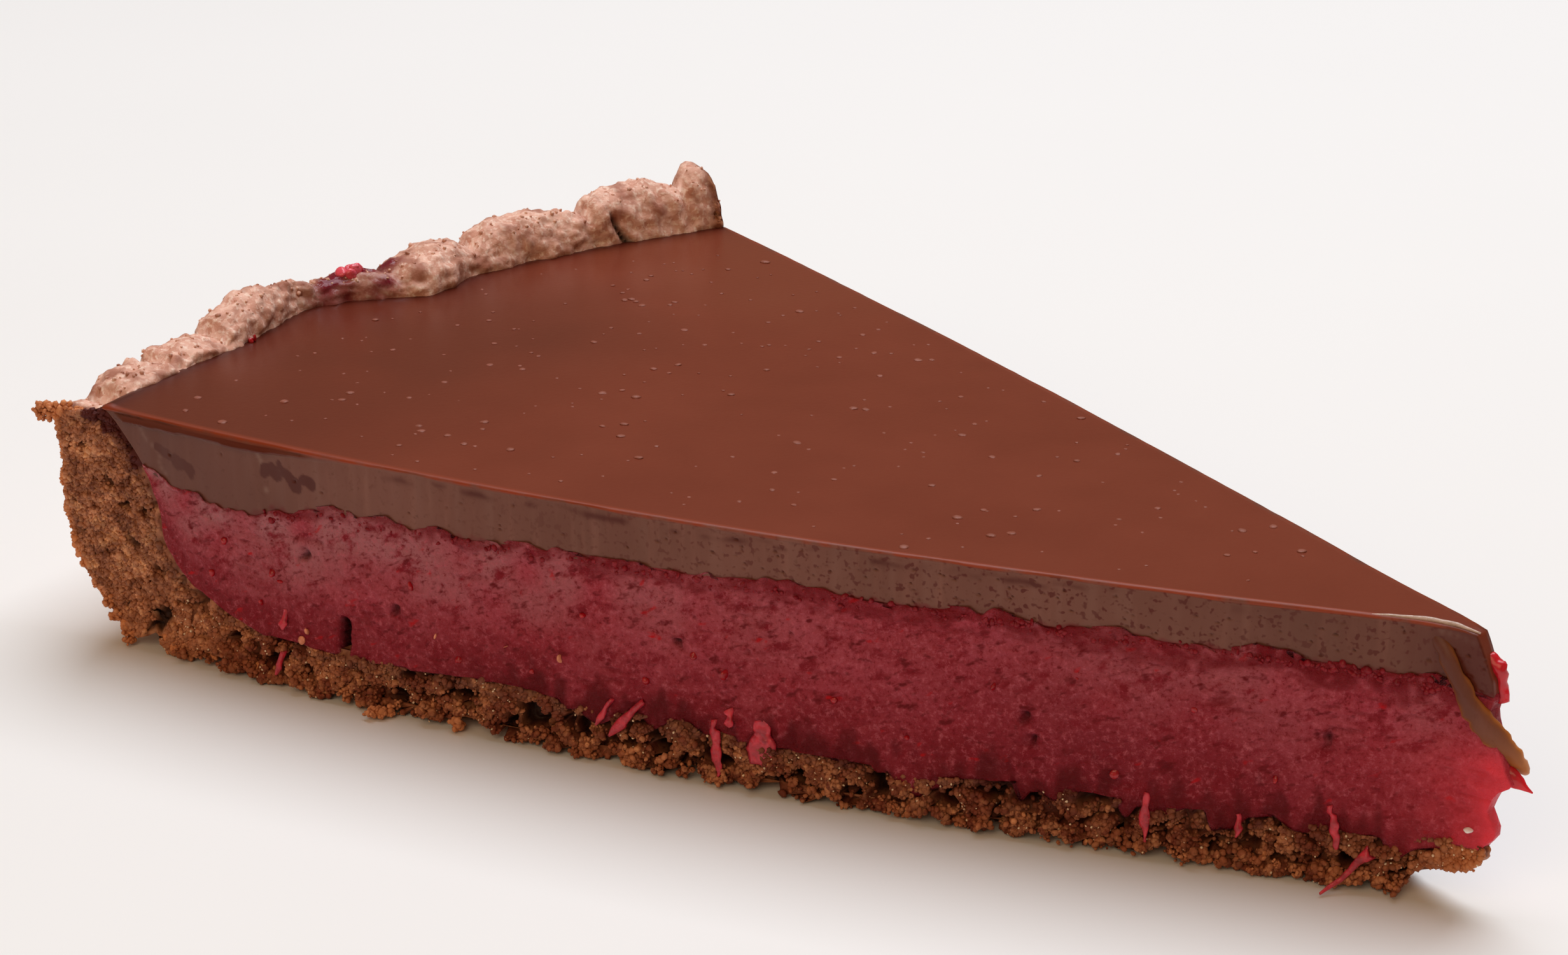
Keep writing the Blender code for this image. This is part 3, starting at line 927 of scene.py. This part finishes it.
# The rolled edge by the wall: where it starts and ends, and its lower side, as (radius, height).
ROLL_FROM, ROLL_TO = 90.0, 114.5
ROLL_LOW = ((90, 21.4), (93, 21.1), (97, 20.95), (101, 20.75), (106, 20.85), (114, 20.8))
GANACHE_SMEARS = (
    (109.5, 19.1), (109.0, 18.9), (108.5, 18.8), (108.0, 18.5), (107.5, 18.3), (106.9, 18.1), (106.2, 17.8),
    (98.1, 19.2), (97.6, 19.3), (97.1, 19.2), (96.6, 20.0), (96.2, 19.7), (95.8, 19.3), (95.4, 19.0),
    (95.0, 18.7), (94.2, 19.1), (93.6, 19.0),
)
# Pale lines on the cut, as (radius, height): those by the wall and at the tip are painted glints.
GANACHE_SCARS_AND_GLINTS = (
    (98.9, 20.7), (98.8, 20.4), (98.6, 20.1), (98.5, 19.8), (98.4, 19.5), (98.4, 19.2), (98.2, 17.6),
    (111.9, 20.9), (111.4, 20.5), (111.2, 20.1), (110.9, 19.7), (110.2, 19.3), (109.7, 18.9),
    (109.5, 18.4), (109.6, 17.9), (109.4, 17.4), (109.0, 17.0),
    (1.2, 21.2), (0.6, 21.1), (0.0, 21.0), (-0.6, 20.9), (-1.2, 20.8),
)


def ganache_cut(line, share, angle):
    """The ganache where the knife went: satin, faintly rippled, with small pits."""
    flat = place(line[..., 0], line[..., 1], angle)
    level = flat * (1, 1, 0)
    radius, height = line[..., 0], line[..., 1]
    chance = np.clip(0.12 + 0.6 * (85 - radius) / 70, 0.04, 0.6)
    chance = chance * np.clip(0.8 + 0.7 * swell(flat, 2.5, 47), 0, 1.3)
    small = pits(flat * (1, 1, 1.5), 0.6, 0.34, chance, 43)
    small = small * rise(height, GANACHE_TOP - 0.4, GANACHE_TOP - 0.7)

    # The lip left standing along the top, and the fat roll under it near the wall.
    lip_line = GANACHE_TOP - LIP_THICKNESS * (1 + 0.5 * swell(level, 4, 44))
    lip = kept((height - lip_line) / 0.12)
    on_roll = rise(radius, ROLL_FROM, ROLL_FROM + 8) * rise(radius, ROLL_TO, ROLL_TO - 1.5)
    roll_low = np.interp(radius, *zip(*ROLL_LOW)) + 0.12 * swell(level, 1.6, 59)
    roll = on_roll * kept((height - roll_low) / 0.12) * kept((lip_line + 0.05 - height) / 0.1)
    up_roll = kept((height - roll_low) / np.maximum(lip_line - roll_low, 0.1))
    bulge = 0.15 + 0.04 * swell(flat, (1.2, 1.2, 9.0), 41) + 0.06 * swell(flat, 7.0, 42)
    bulge = bulge - 0.25 * small + 0.14 * lip + 0.55 * roll * np.sqrt(1 - up_roll**2)

    # Smears, scars and juice: smooth patches, dry scratches with painted glints among them, and a red line
    # at the bottom.
    smear = kept(6.5 * dents(wobble(line, flat, 0.7, 0.4, 62), GANACHE_SMEARS, 1.0) - 1.5)
    under_lip = rise(radius, 10, 30) * rise(radius, 92, 82) * hump(height, 20.9, 0.3)
    smear = np.maximum(smear, 0.9 * under_lip * kept(2 * swell(flat, 1.2, 55)))
    scar = 0.5 * dents(line, GANACHE_SCARS_AND_GLINTS, 0.5) + 0.1 * kept(swell(flat, (0.6, 0.6, 5), 56))
    # A painted highlight along the roll, drawn with the scars.
    shine = hump(height, 21.36, 0.1) * rise(radius, 106, 104.5) * rise(radius, 97.5, 99)
    scar = np.maximum(scar, 0.9 * shine * kept(0.7 + 0.9 * swell(flat, 1.4, 65)))
    juice = kept(1 - share * GANACHE_DEPTH / 0.35 + 1.1 * swell(flat, 0.6, 94))
    juice = juice * kept(1.2 + swell(flat, 3.0, 96)) * rise(radius, 108, 102)
    tip_wet = rise(radius, 5, -1)
    gloss = np.maximum(roll, 0.6 * tip_wet)
    patchy = kept(0.8 + 0.9 * swell(flat, 2.2, 57) + 0.5 * swell(flat, 0.7, 63), 0.1)
    return line, bulge, {
        "lip": lip * patchy, "gloss": gloss, "pit": small * (1 - kept(gloss)), "scar": scar,
        "smear": np.maximum(smear, 0.5 * tip_wet), "juice": 0.8 * juice,
        "specked": kept(0.15 + (80 - radius) / 50, 0.1) * (1 - on_roll),
        # Darker towards the wall and near the tip.
        "rich": 0.6 * rise(radius, 88, 108) + 0.35 * hump(radius, 11, 7),
    }


MENISCUS = 0.2


def ganache_skin(points, line, angles):
    """The poured top: very slightly uneven, and drawn up where it meets the rim."""
    radius = line[..., 0]
    top = line[..., 1] > GANACHE_TOP - 0.1
    to_rim = ganache_edge(angles) - radius
    push = 0.04 * swell(points, 14.0, 45) + MENISCUS * fade(to_rim, 0.9)
    # Painted shade and reflection of the rim along the top's edge.
    seam = fade(to_rim, 0.7) + 0.4 * fade(to_rim, 4.0)
    uneven = top * (0.9 + 0.3 * swell(points, 6.0, 46))
    # Painted: shade near the rim, and a sheen by the rim at the far cut.
    return np.where(top, push, 0.0), {
        "rich": kept(uneven * rise(radius, 82, 96) * rise(angles, 9, 3)),
        "bloom": kept(uneven * rise(radius, 78, 92) * rise(angles, 9, 13)),
        "lip": 0.6 * top * (angles < NEAR + 0.01), "seam": 0.75 * seam * top,
    }


ganache_stuff = ganache_finish()
ganache, *_ = loft(
    "ganache_layer", ganache_section,
    cuts=(((760, 40), 42), ((200, 12), 10)),
    skin=(((24, 6), (110, 22)), 3, 26),
    columns=150, cut_look=ganache_cut, skin_look=ganache_skin, material=ganache_stuff,
)
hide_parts("chocolate_ganache")

# ---------------------------------------------------------------- loose crumb on the pastry


def strew(name, points, weights, count, sizes, seed, lift=0.1, level=1, **notes):
    """Crumbs at random points of a grid, most of them near the smallest size."""
    picks = np.random.default_rng(seed)
    flat, weights = points.reshape(-1, 3), np.ravel(weights)
    chosen = picks.choice(len(flat), count, p=weights / weights.sum())
    spots = flat[chosen] + picks.normal(0, lift, (count, 3))
    wide = sizes[0] + (sizes[1] - sizes[0]) * picks.uniform(0, 1, count) ** 2
    spots[:, 2] = np.maximum(spots[:, 2], 0.7 * wide)
    carried = {key: np.ravel(values)[chosen] for key, values in notes.items()}
    return scatter(name, spots, wide, pastry, seed + 1, level=level, **carried)


BASE_COLUMNS = 640
near_points, near_notes = shell_near
open_crumb = (1 - near_notes["hollow"]) ** 4 * (1 - 0.6 * near_notes["soak"])
open_crumb = open_crumb * (1 - 0.6 * near_notes["moist"])
open_crumb = open_crumb * rise(np.linspace(0, 1, open_crumb.shape[1]), 0.9, 0.84)
on_base, on_wall = slice(0, BASE_COLUMNS), slice(BASE_COLUMNS, None)
own_notes = {
    "cut": np.ones(open_crumb.shape), "soak": 0.8 * near_notes["soak"],
    "moist": near_notes["moist"], "edge": near_notes["edge"],
}
base_crumbs = strew(
    "base_crumbs", near_points[on_base], open_crumb[on_base], 8500, (0.22, 0.65), 71,
    **{key: values[on_base] for key, values in own_notes.items()},
)
wall_crumbs = strew(
    "wall_crumbs", near_points[on_wall], open_crumb[on_wall], 5500, (0.25, 0.62), 74, lift=0.03,
    wall=near_notes["wall"][on_wall],
    **{key: values[on_wall] for key, values in own_notes.items()},
)
WALL_ROWS = slice(26, 92)
edge_points = shell_skin[WALL_ROWS, :2]
edge_whole = np.ones(edge_points.shape[:2])
edge_crumbs = strew(
    "edge_crumbs", edge_points, kept(swell(edge_points, 1.8, 92)), 420, (0.3, 0.8), 80, level=2,
    cut=edge_whole, wall=edge_whole, edge=0.8 * edge_whole,
)
RIM_ROWS = slice(60, 120)
rim_points = shell_skin[RIM_ROWS]
rim_crumbs = strew(
    "rim_crumbs", rim_points, np.ones(rim_points.shape[:2]), 600, (0.25, 0.5), 77, lift=0.0,
)


NEAR_NORMAL = cut_normal(NEAR)


def on_cut(radius, height, out=0.0):
    """A point on the near cut, or some way out from it."""
    return place(radius, height, NEAR) + out * NEAR_NORMAL


# Bigger bits, as (radius, height, out, width): the shard on the outer corner, the foot's
# ragged edge, and crumbs that lie clear of the base.
LOOSE_BITS = (
    (122.2, 20.6, 0.0, 0.9), (122.0, 19.9, 0.0, 0.7), (121.6, 20.7, -0.1, 1.0), (120.9, 20.8, -0.2, 1.1),
    (120.2, 20.9, -0.2, 1.0), (119.4, 20.9, -0.3, 0.9), (118.5, 20.8, -0.4, 0.8), (120.9, 20.1, -0.1, 0.9),
    (120.2, 20.2, -0.1, 0.8), (115.0, 1.3, -0.1, 1.0),
    (114.7, 0.6, -0.1, 1.0), (115.9, 2.6, -0.1, 1.0), (116.7, 3.8, -0.2, 1.0),
    (87.0, 0.6, 1.2, 1.2), (87.6, 0.5, 1.7, 1.0), (86.4, 0.6, 0.9, 1.0), (79.8, 0.6, 0.3, 1.2),
)


def clump(name, spots, widths, seed, count=16, **notes):
    """Ragged clumps, each of `count` small crumbs stuck together about a spot."""
    picks = np.random.default_rng(seed)
    wide = np.repeat(widths, count)
    around = np.clip(picks.normal(0, 0.26, (len(wide), 3)), -0.5, 0.5) * wide[:, None]
    centres = np.repeat(spots, count, axis=0) + around
    sizes = wide * picks.uniform(0.32, 0.62, len(wide))
    centres[:, 2] = np.maximum(centres[:, 2], 0.78 * sizes)
    carried = {key: np.full(len(wide), value) for key, value in notes.items()}
    return scatter(name, centres, sizes, pastry, seed + 1, level=1, **carried)


bit_spots = np.array([on_cut(*bit[:3]) for bit in LOOSE_BITS])
bit_widths = np.array([width for *_, width in LOOSE_BITS])
bits = clump("loose_bits", bit_spots, bit_widths, 95, 22, cut=1.0, wall=1.0, edge=0.6)
LOW_CLUMPS = 110
picks = np.random.default_rng(79)
low_radii = picks.uniform(2.8, 109, LOW_CLUMPS)
low_spots = on_cut(low_radii, picks.uniform(0.45, 1.5, LOW_CLUMPS))
low_spots = low_spots + picks.uniform(-0.2, 0.6, LOW_CLUMPS)[:, None] * NEAR_NORMAL
low_widths = picks.uniform(0.6, 1.3, LOW_CLUMPS)
base_clumps = clump("base_clumps", low_spots, low_widths, 97, 14, cut=1.0, edge=0.15)

# Sugar crystals that caught on the crumb low down.
CRYSTALS = 420
CRYSTAL_COLUMNS = 700
CRYSTALS_BELOW = 8
crystal_stuff = plain_finish("sugar_crystal", "#F0D2AE", {"Roughness": 0.15}, darker=0.8)
picks = np.random.default_rng(98)
low_crumb = near_points[:CRYSTAL_COLUMNS]
chances = (open_crumb[:CRYSTAL_COLUMNS] * (low_crumb[..., 2] < CRYSTALS_BELOW)).ravel()
chosen = picks.choice(chances.size, CRYSTALS, p=chances / chances.sum())
crystals = scatter(
    "sugar_crystals", low_crumb.reshape(-1, 3)[chosen] + 0.2 * NEAR_NORMAL,
    picks.uniform(0.1, 0.24, CRYSTALS), crystal_stuff, 99, level=1,
)

# ---------------------------------------------------------------- skins, pips and drips


def ribbons(name, runs, material, seed, around=10, steps=14, rough=0.3, **notes):
    """Joined tapering strands, each along some points with a width and a thickness at each.

    Each point also gets a note of painted amber glow, as of light through the thin ganache, which rises to a
    strand's edges and its end.
    """
    points, faces, total, thin = [], [], 0, []
    for path, widths, thicknesses in runs:
        path = np.array(path, float)
        length = np.concatenate([[0], np.cumsum(np.linalg.norm(np.diff(path, axis=0), axis=1))])
        spots = np.linspace(0, length[-1], steps)
        line = np.stack([np.interp(spots, length, path[:, k]) for k in range(3)], 1)
        line[1:-1] = (line[:-2] + 2 * line[1:-1] + line[2:]) / 4
        wide, thick = (np.interp(spots, length, size) / 2 for size in (widths, thicknesses))
        ahead = np.gradient(line, axis=0)
        ahead /= np.linalg.norm(ahead, axis=1, keepdims=True)
        across = np.cross(ahead, NEAR_NORMAL)
        across /= np.linalg.norm(across, axis=1, keepdims=True)
        out = np.cross(across, ahead)
        turn = np.linspace(0, 2 * math.pi, around, endpoint=False)
        ring = line[:, None] + across[:, None] * (wide[:, None] * np.cos(turn))[..., None]
        ring = ring + out[:, None] * (thick[:, None] * np.sin(turn))[..., None]
        ring = ring + rough * thick[:, None, None] * swell(ring, 0.5, seed)[..., None]
        share = np.linspace(0, 1, steps)[:, None]
        thin.append(kept(0.9 * share**0.5 * np.abs(np.cos(turn)) ** 8 + share**5).ravel())
        numbers = total + np.arange(steps * around).reshape(steps, around)
        wrapped = np.concatenate([numbers, numbers[:, :1]], 1)
        quads = np.stack([wrapped[:-1, :-1], wrapped[1:, :-1], wrapped[1:, 1:], wrapped[:-1, 1:]], -1)
        faces += quads.reshape(-1, 4).tolist() + [numbers[0].tolist(), numbers[-1].tolist()]
        points.append(ring.reshape(-1, 3))
        total += steps * around
    spread = {key: np.full(total, value) for key, value in notes.items()}
    spread = {"edge_glow": 0.8 * np.concatenate(thin), **spread}
    return make_piece(name, np.concatenate(points), faces, material, spread)


# Strips of raspberry skin hanging down over the crumb: from and to (radius, height), and width.
HANGING_SKINS = (
    ((65.6, 5.6), (66.8, 3.4), 0.6), ((63.0, 5.8), (65.6, 2.7), 0.9), ((56.8, 5.4), (56.0, 1.1), 1.1),
    ((97.4, 3.4), (97.9, 1.4), 0.8), ((97.0, 7.2), (97.0, 5.6), 0.7),
    ((22.0, 5.4), (21.8, 1.6), 0.8), ((8.5, 6.4), (7.6, 3.3), 0.7), ((15.0, 4.8), (15.0, 3.1), 0.5),
)
TORN_SLABS = (((52.6, 6.2), (52.4, 2.7), 2.2), ((55.4, 6.6), (55.0, 5.4), 0.9))
FIBRE = (
    (5.2, 3.4, 0.7), (5.7, 2.9, 0.8), (6.2, 2.4, 0.9), (6.9, 1.3, 1.2), (7.7, 0.75, 1.7), (8.3, 0.3, 2.3),
)
skin_stuff = plain_finish("torn_raspberry_skin", "#D23448", wet_fruit(0.3), darker=0.45)
runs = []
for top, bottom, width in HANGING_SKINS + TORN_SLABS:
    share = np.linspace(0, 1, 4)
    radii = top[0] + (bottom[0] - top[0]) * share
    heights = top[1] + (bottom[1] - top[1]) * share
    path = [on_cut(r, z, 0.1 + 0.6 * t) for r, z, t in zip(radii, heights, share)]
    blunt = 0.9 if width > 2 else 0.25
    runs.append((path, (width * 0.5, width * 0.7, width * 1.1, width * blunt), (0.5, 0.4, 0.4, 0.2)))
path = [on_cut(*spot) for spot in FIBRE]
runs.append((path, (1.1, 0.8, 0.5, 0.4, 0.35, 0.2), (0.5, 0.5, 0.35, 0.3, 0.25, 0.2)))
skins = ribbons("raspberry_skins", runs, skin_stuff, 81, steps=20, rough=0.9)

# Pips and scraps of fruit in the filling, at (radius, height).
PIPS = ((94.7, 5.8), (95.3, 4.9), (81.8, 8.0), (75.1, 8.4), (70.1, 8.3), (51.4, 3.6))
pip_stuff = plain_finish("raspberry_pip", "#E8906A", {"Roughness": 0.3}, size=0.4, darker=0.7)
pip_spots = np.array([on_cut(r, z, 0.3) for r, z in PIPS])
pips = scatter("pips", pip_spots, np.full(len(PIPS), 0.4), pip_stuff, 83, level=3, stretch=0.9)
FRUIT_SCRAPS = (
    (58.3, 10.7), (55.6, 9.6), (55.2, 6.0), (98.0, 10.4), (97.3, 9.7), (84.0, 11.9), (79.6, 6.4),
    (46.5, 9.0), (33.8, 12.2), (24.4, 6.6), (18.7, 12.6), (12.5, 8.0), (68.0, 12.4), (103.0, 12.2),
    (99.4, 7.4), (72.8, 6.6), (62.5, 7.8), (40.6, 6.9), (27.5, 13.8), (104.6, 9.0),
)
scrap_stuff = plain_finish("raspberry_flesh", "#AA0C1C", wet_fruit(0.22, 0.4), darker=0.6)
scrap_spots = np.array([on_cut(r, z, 0.15) for r, z in FRUIT_SCRAPS])
scrap_sizes = np.random.default_rng(84).uniform(0.35, 0.75, len(FRUIT_SCRAPS))
on_rim = [place(115.3, 22.0, -9.1), place(115.2, 22.2, -8.9)]
scrap_spots = np.concatenate([scrap_spots, on_rim])
scrap_sizes = np.concatenate([scrap_sizes, (0.6, 0.5)])
scraps = scatter("fruit_scraps", scrap_spots, scrap_sizes, scrap_stuff, 85, level=3, stretch=0.5)

# A torn scrap of fruit on the rim.
RIM_SCRAP_LUMPS = 9
rim_scrap_stuff = plain_finish("fresh_raspberry_scrap", "#F0586A", wet_fruit(0.25), darker=0.8)
picks = np.random.default_rng(69)
rim_scrap = scatter(
    "rim_scrap",
    place(118.2, 24.1, -1.5) + picks.normal(0, (0.3, 0.55, 0.15), (RIM_SCRAP_LUMPS, 3)),
    picks.uniform(0.7, 1.2, RIM_SCRAP_LUMPS), rim_scrap_stuff, 70, level=3, stretch=0.5,
)

# Dark pulp caught along the line where the ganache was poured on.
SEAM_LUMPS = 300
picks = np.random.default_rng(66)
seam_radii = 100 * picks.uniform(0, 1, SEAM_LUMPS) ** 1.5
seam_heights = np.clip(picks.normal(-0.4, 0.25, SEAM_LUMPS), -1.0, 0.05)
seam_heights = along(FILLING_TOP, seam_radii) + seam_heights
seam_stuff = plain_finish(
    "dark_raspberry_pulp", "#8A1A26", {"Roughness": 0.3, "Specular IOR Level": 0.2}, size=0.5, darker=0.6
)
seam_pulp = scatter(
    "seam_pulp", on_cut(seam_radii, seam_heights, 0.18), picks.uniform(0.2, 0.5, SEAM_LUMPS),
    seam_stuff, 67, stretch=0.5,
)

# A smear of ganache that ran down the tip, as (how far past the middle, sideways, height, width).
DRIP = (
    (-1.8, -1.15, 21.0, 0.8), (-0.5, -1.3, 19.5, 1.2), (0.7, -1.2, 17.5, 1.4), (1.7, -1.05, 16.0, 1.7),
    (2.8, -0.65, 14.7, 2.0), (3.8, -0.05, 13.5, 1.7), (4.4, 0.8, 12.3, 1.3), (4.7, 1.5, 11.4, 1.0),
    (4.8, 1.7, 11.0, 0.5),
)
drip_path = [(CENTRE_X + x, y, z) for x, y, z, _ in DRIP]
drip = ribbons(
    "ganache_drip",
    [(drip_path, [width for *_, width in DRIP], (0.5, 0.7, 0.9, 1.0, 1.0, 0.9, 0.9, 0.9, 0.4))],
    ganache_stuff, 87, around=20, steps=44, rough=0.2, cut=1.0, gloss=0.2, smear=0.25,
)
# Raspberry dragged up beside the drip, and a spike of it on the tip: each strand's points, its
# widths and its thicknesses.
PULLED = (
    (
        ((1.9, 0.4, 19.8), (2.7, 0.5, 18.9), (2.8, 0.6, 17.8), (3.1, 0.6, 16.4)),
        (0.6, 1.4, 1.0, 0.9), (0.7, 1.2, 0.9, 0.7),
    ),
    (((3.2, 0.3, 11.2), (4.5, 0.5, 10.9), (6.0, 0.7, 10.2)), (2.0, 1.3, 0.1), (1.2, 0.8, 0.1)),
)
runs = [([(CENTRE_X + x, y, z) for x, y, z in path], *sizes) for path, *sizes in PULLED]
pulled_stuff = plain_finish(
    "pulled_raspberry", "#D01A2C", wet_fruit(0.25, 0.5, 1.5), size=1.0, darker=0.6
)
pulled = ribbons("pulled_raspberry", runs, pulled_stuff, 88, around=18, steps=24, rough=0.25)
# A thin bead along the top edge near the tip, painted pale as a highlight, and a white bead as a painted
# glint.
HIGHLIGHT_BEAD = ((7.0, 0.1, -0.1), (5.0, 0.2, 0.0), (2.5, 0.3, 0.05), (0.4, 0.35, -0.05), (-1.4, 0.4, -0.3))
highlight_bead_path = [place(r, GANACHE_TOP + lift, NEAR) + (0.0, out, 0.0) for r, out, lift in HIGHLIGHT_BEAD]
highlight_bead_stuff = plain_finish(
    "pale_highlight_bead", "#C4AA9C", {"Roughness": 0.25, "Specular IOR Level": 0.4}, darker=0.85
)
highlight_bead = ribbons(
    "ganache_highlight_bead", [(highlight_bead_path, (0.1, 0.3, 0.45, 0.4, 0.15), (0.1, 0.25, 0.4, 0.4, 0.15))],
    highlight_bead_stuff, 89, around=14, steps=34, rough=0.15,
)
# A pure white bead on the filling's tip stands in for a glint.
glint_stuff = plain_finish("white_glint_bead", "#FFFFFF", {"Roughness": 0.05}, darker=0.98)
juice = scatter(
    "painted_glint_bead", on_cut(-1.9, 6.5, 0.2)[None], np.array([0.65]), glint_stuff, 93, level=3, stretch=0.1,
    squash=(1.1, 1.1, 0.55),
)

# Specks of trapped air just under the ganache's top.
BUBBLES = 260
picks = np.random.default_rng(90)
radius = 112 * np.sqrt(picks.uniform(0.02, 1, BUBBLES))
side = picks.uniform(-0.97, 0.97, BUBBLES) * (1 - 2.0 / np.maximum(radius, 10))
bubble_sizes = 0.3 + 0.6 * picks.uniform(0, 1, BUBBLES) ** 3
bubble_stuff = plain_finish(
    "ganache_bubble", "#8E5242", {"Roughness": 0.45, "Specular IOR Level": 0.2}, darker=0.8
)
bubbles = scatter(
    "ganache_bubbles", place(radius, GANACHE_TOP, side * FAR), bubble_sizes, bubble_stuff, 91,
    stretch=0.15, squash=(1, 1, 0.3),
)

pastry_pieces = [
    shell, base_crumbs, wall_crumbs, edge_crumbs, rim_crumbs, bits, base_clumps, crystals,
]
filling_pieces = [filling, skins, pips, scraps, rim_scrap, seam_pulp, pulled, juice]
ganache_pieces = [ganache, drip, highlight_bead, bubbles]
for slot, pieces in (
    ("crust", pastry_pieces), ("raspberry_filling", filling_pieces), ("chocolate_ganache", ganache_pieces),
):
    for piece in pieces:
        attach(piece, "root")

# ---------------------------------------------------------------- floor, light and camera

floor_mesh = bmesh.new()
bmesh.ops.create_grid(floor_mesh, x_segments=4, y_segments=4, size=1.6)
floor_data = bpy.data.meshes.new("floor")
floor_mesh.to_mesh(floor_data)
floor_mesh.free()
floor = bpy.data.objects.new("floor", floor_data)
bpy.context.scene.collection.objects.link(floor)
floor_stuff, floor_tree, floor_shader, floor_spot = start_material("matt_white_board", {"Roughness": 0.6})
mottle = add(floor_tree, "TexNoise", {"Vector": floor_spot, "Scale": per_mm(60.0)})
floor_tone = paint(floor_tree, "#EEEFEE", ((mottle, "#ECEDEC"),))
join(floor_tree, floor_shader, {"Base Color": floor_tone})
floor_data.materials.append(floor_stuff)


def unit(vector):
    return vector / np.linalg.norm(vector)


def aim(obj, position, target, roll=0.0):
    """Puts an object at a place in millimetres, looking at a target, rolled by some degrees."""
    forward = unit(target - position)
    right = unit(np.cross(forward, (0, 0, 1)))
    upward = np.cross(right, forward)
    turn = math.radians(roll)
    right, upward = (
        math.cos(turn) * right + math.sin(turn) * upward,
        math.cos(turn) * upward - math.sin(turn) * right,
    )
    matrix = np.eye(4)
    matrix[:3, :3] = np.stack([right, upward, -forward], 1)
    matrix[:3, 3] = position * MM
    obj.matrix_world = Matrix(matrix)
    bpy.context.scene.collection.objects.link(obj)


def direction(azimuth, elevation):
    """The way to a point seen at an azimuth, 0 being -Y and 90 being +X, and an elevation."""
    a, e = math.radians(azimuth), math.radians(elevation)
    return np.array([math.sin(a) * math.cos(e), -math.cos(a) * math.cos(e), math.sin(e)])


LOOK_AT = np.array([CENTRE_X - 72.8, 7.5, 12.3])
CAMERA_AWAY = 280.3
CAMERA_AZIMUTH, CAMERA_ELEVATION, CAMERA_ROLL = 43.25, 20.31, -0.18
camera_data = bpy.data.cameras.new("camera")
camera_data.lens = 73.5
camera_data.clip_start = 0.01
camera = bpy.data.objects.new("camera", camera_data)
camera_spot = LOOK_AT + CAMERA_AWAY * direction(CAMERA_AZIMUTH, CAMERA_ELEVATION)
aim(camera, camera_spot, LOOK_AT, CAMERA_ROLL)
bpy.context.scene.camera = camera


def area_light(name, azimuth, elevation, distance, width, height, power, tone):
    data = bpy.data.lights.new(name, "AREA")
    data.shape = "RECTANGLE"
    data.size, data.size_y = width * MM, height * MM
    data.energy = power
    data.color = colour(tone)[:3]
    light = bpy.data.objects.new(name, data)
    aim(light, LOOK_AT + distance * direction(azimuth, elevation), LOOK_AT)


area_light("softbox_above", 202, 70, 1000, 950, 850, 12.3, "#EEF4FC")
area_light("fill_in_front", 20, 35, 1200, 900, 700, 3.9, "#FFDDB4")

world = bpy.data.worlds.new("studio")
world.use_nodes = True
world.node_tree.nodes["Background"].inputs["Color"].default_value = colour("#FFD4AD")
world.node_tree.nodes["Background"].inputs["Strength"].default_value = 0.19
bpy.context.scene.world = world
bpy.context.scene.view_settings.view_transform = "Standard"
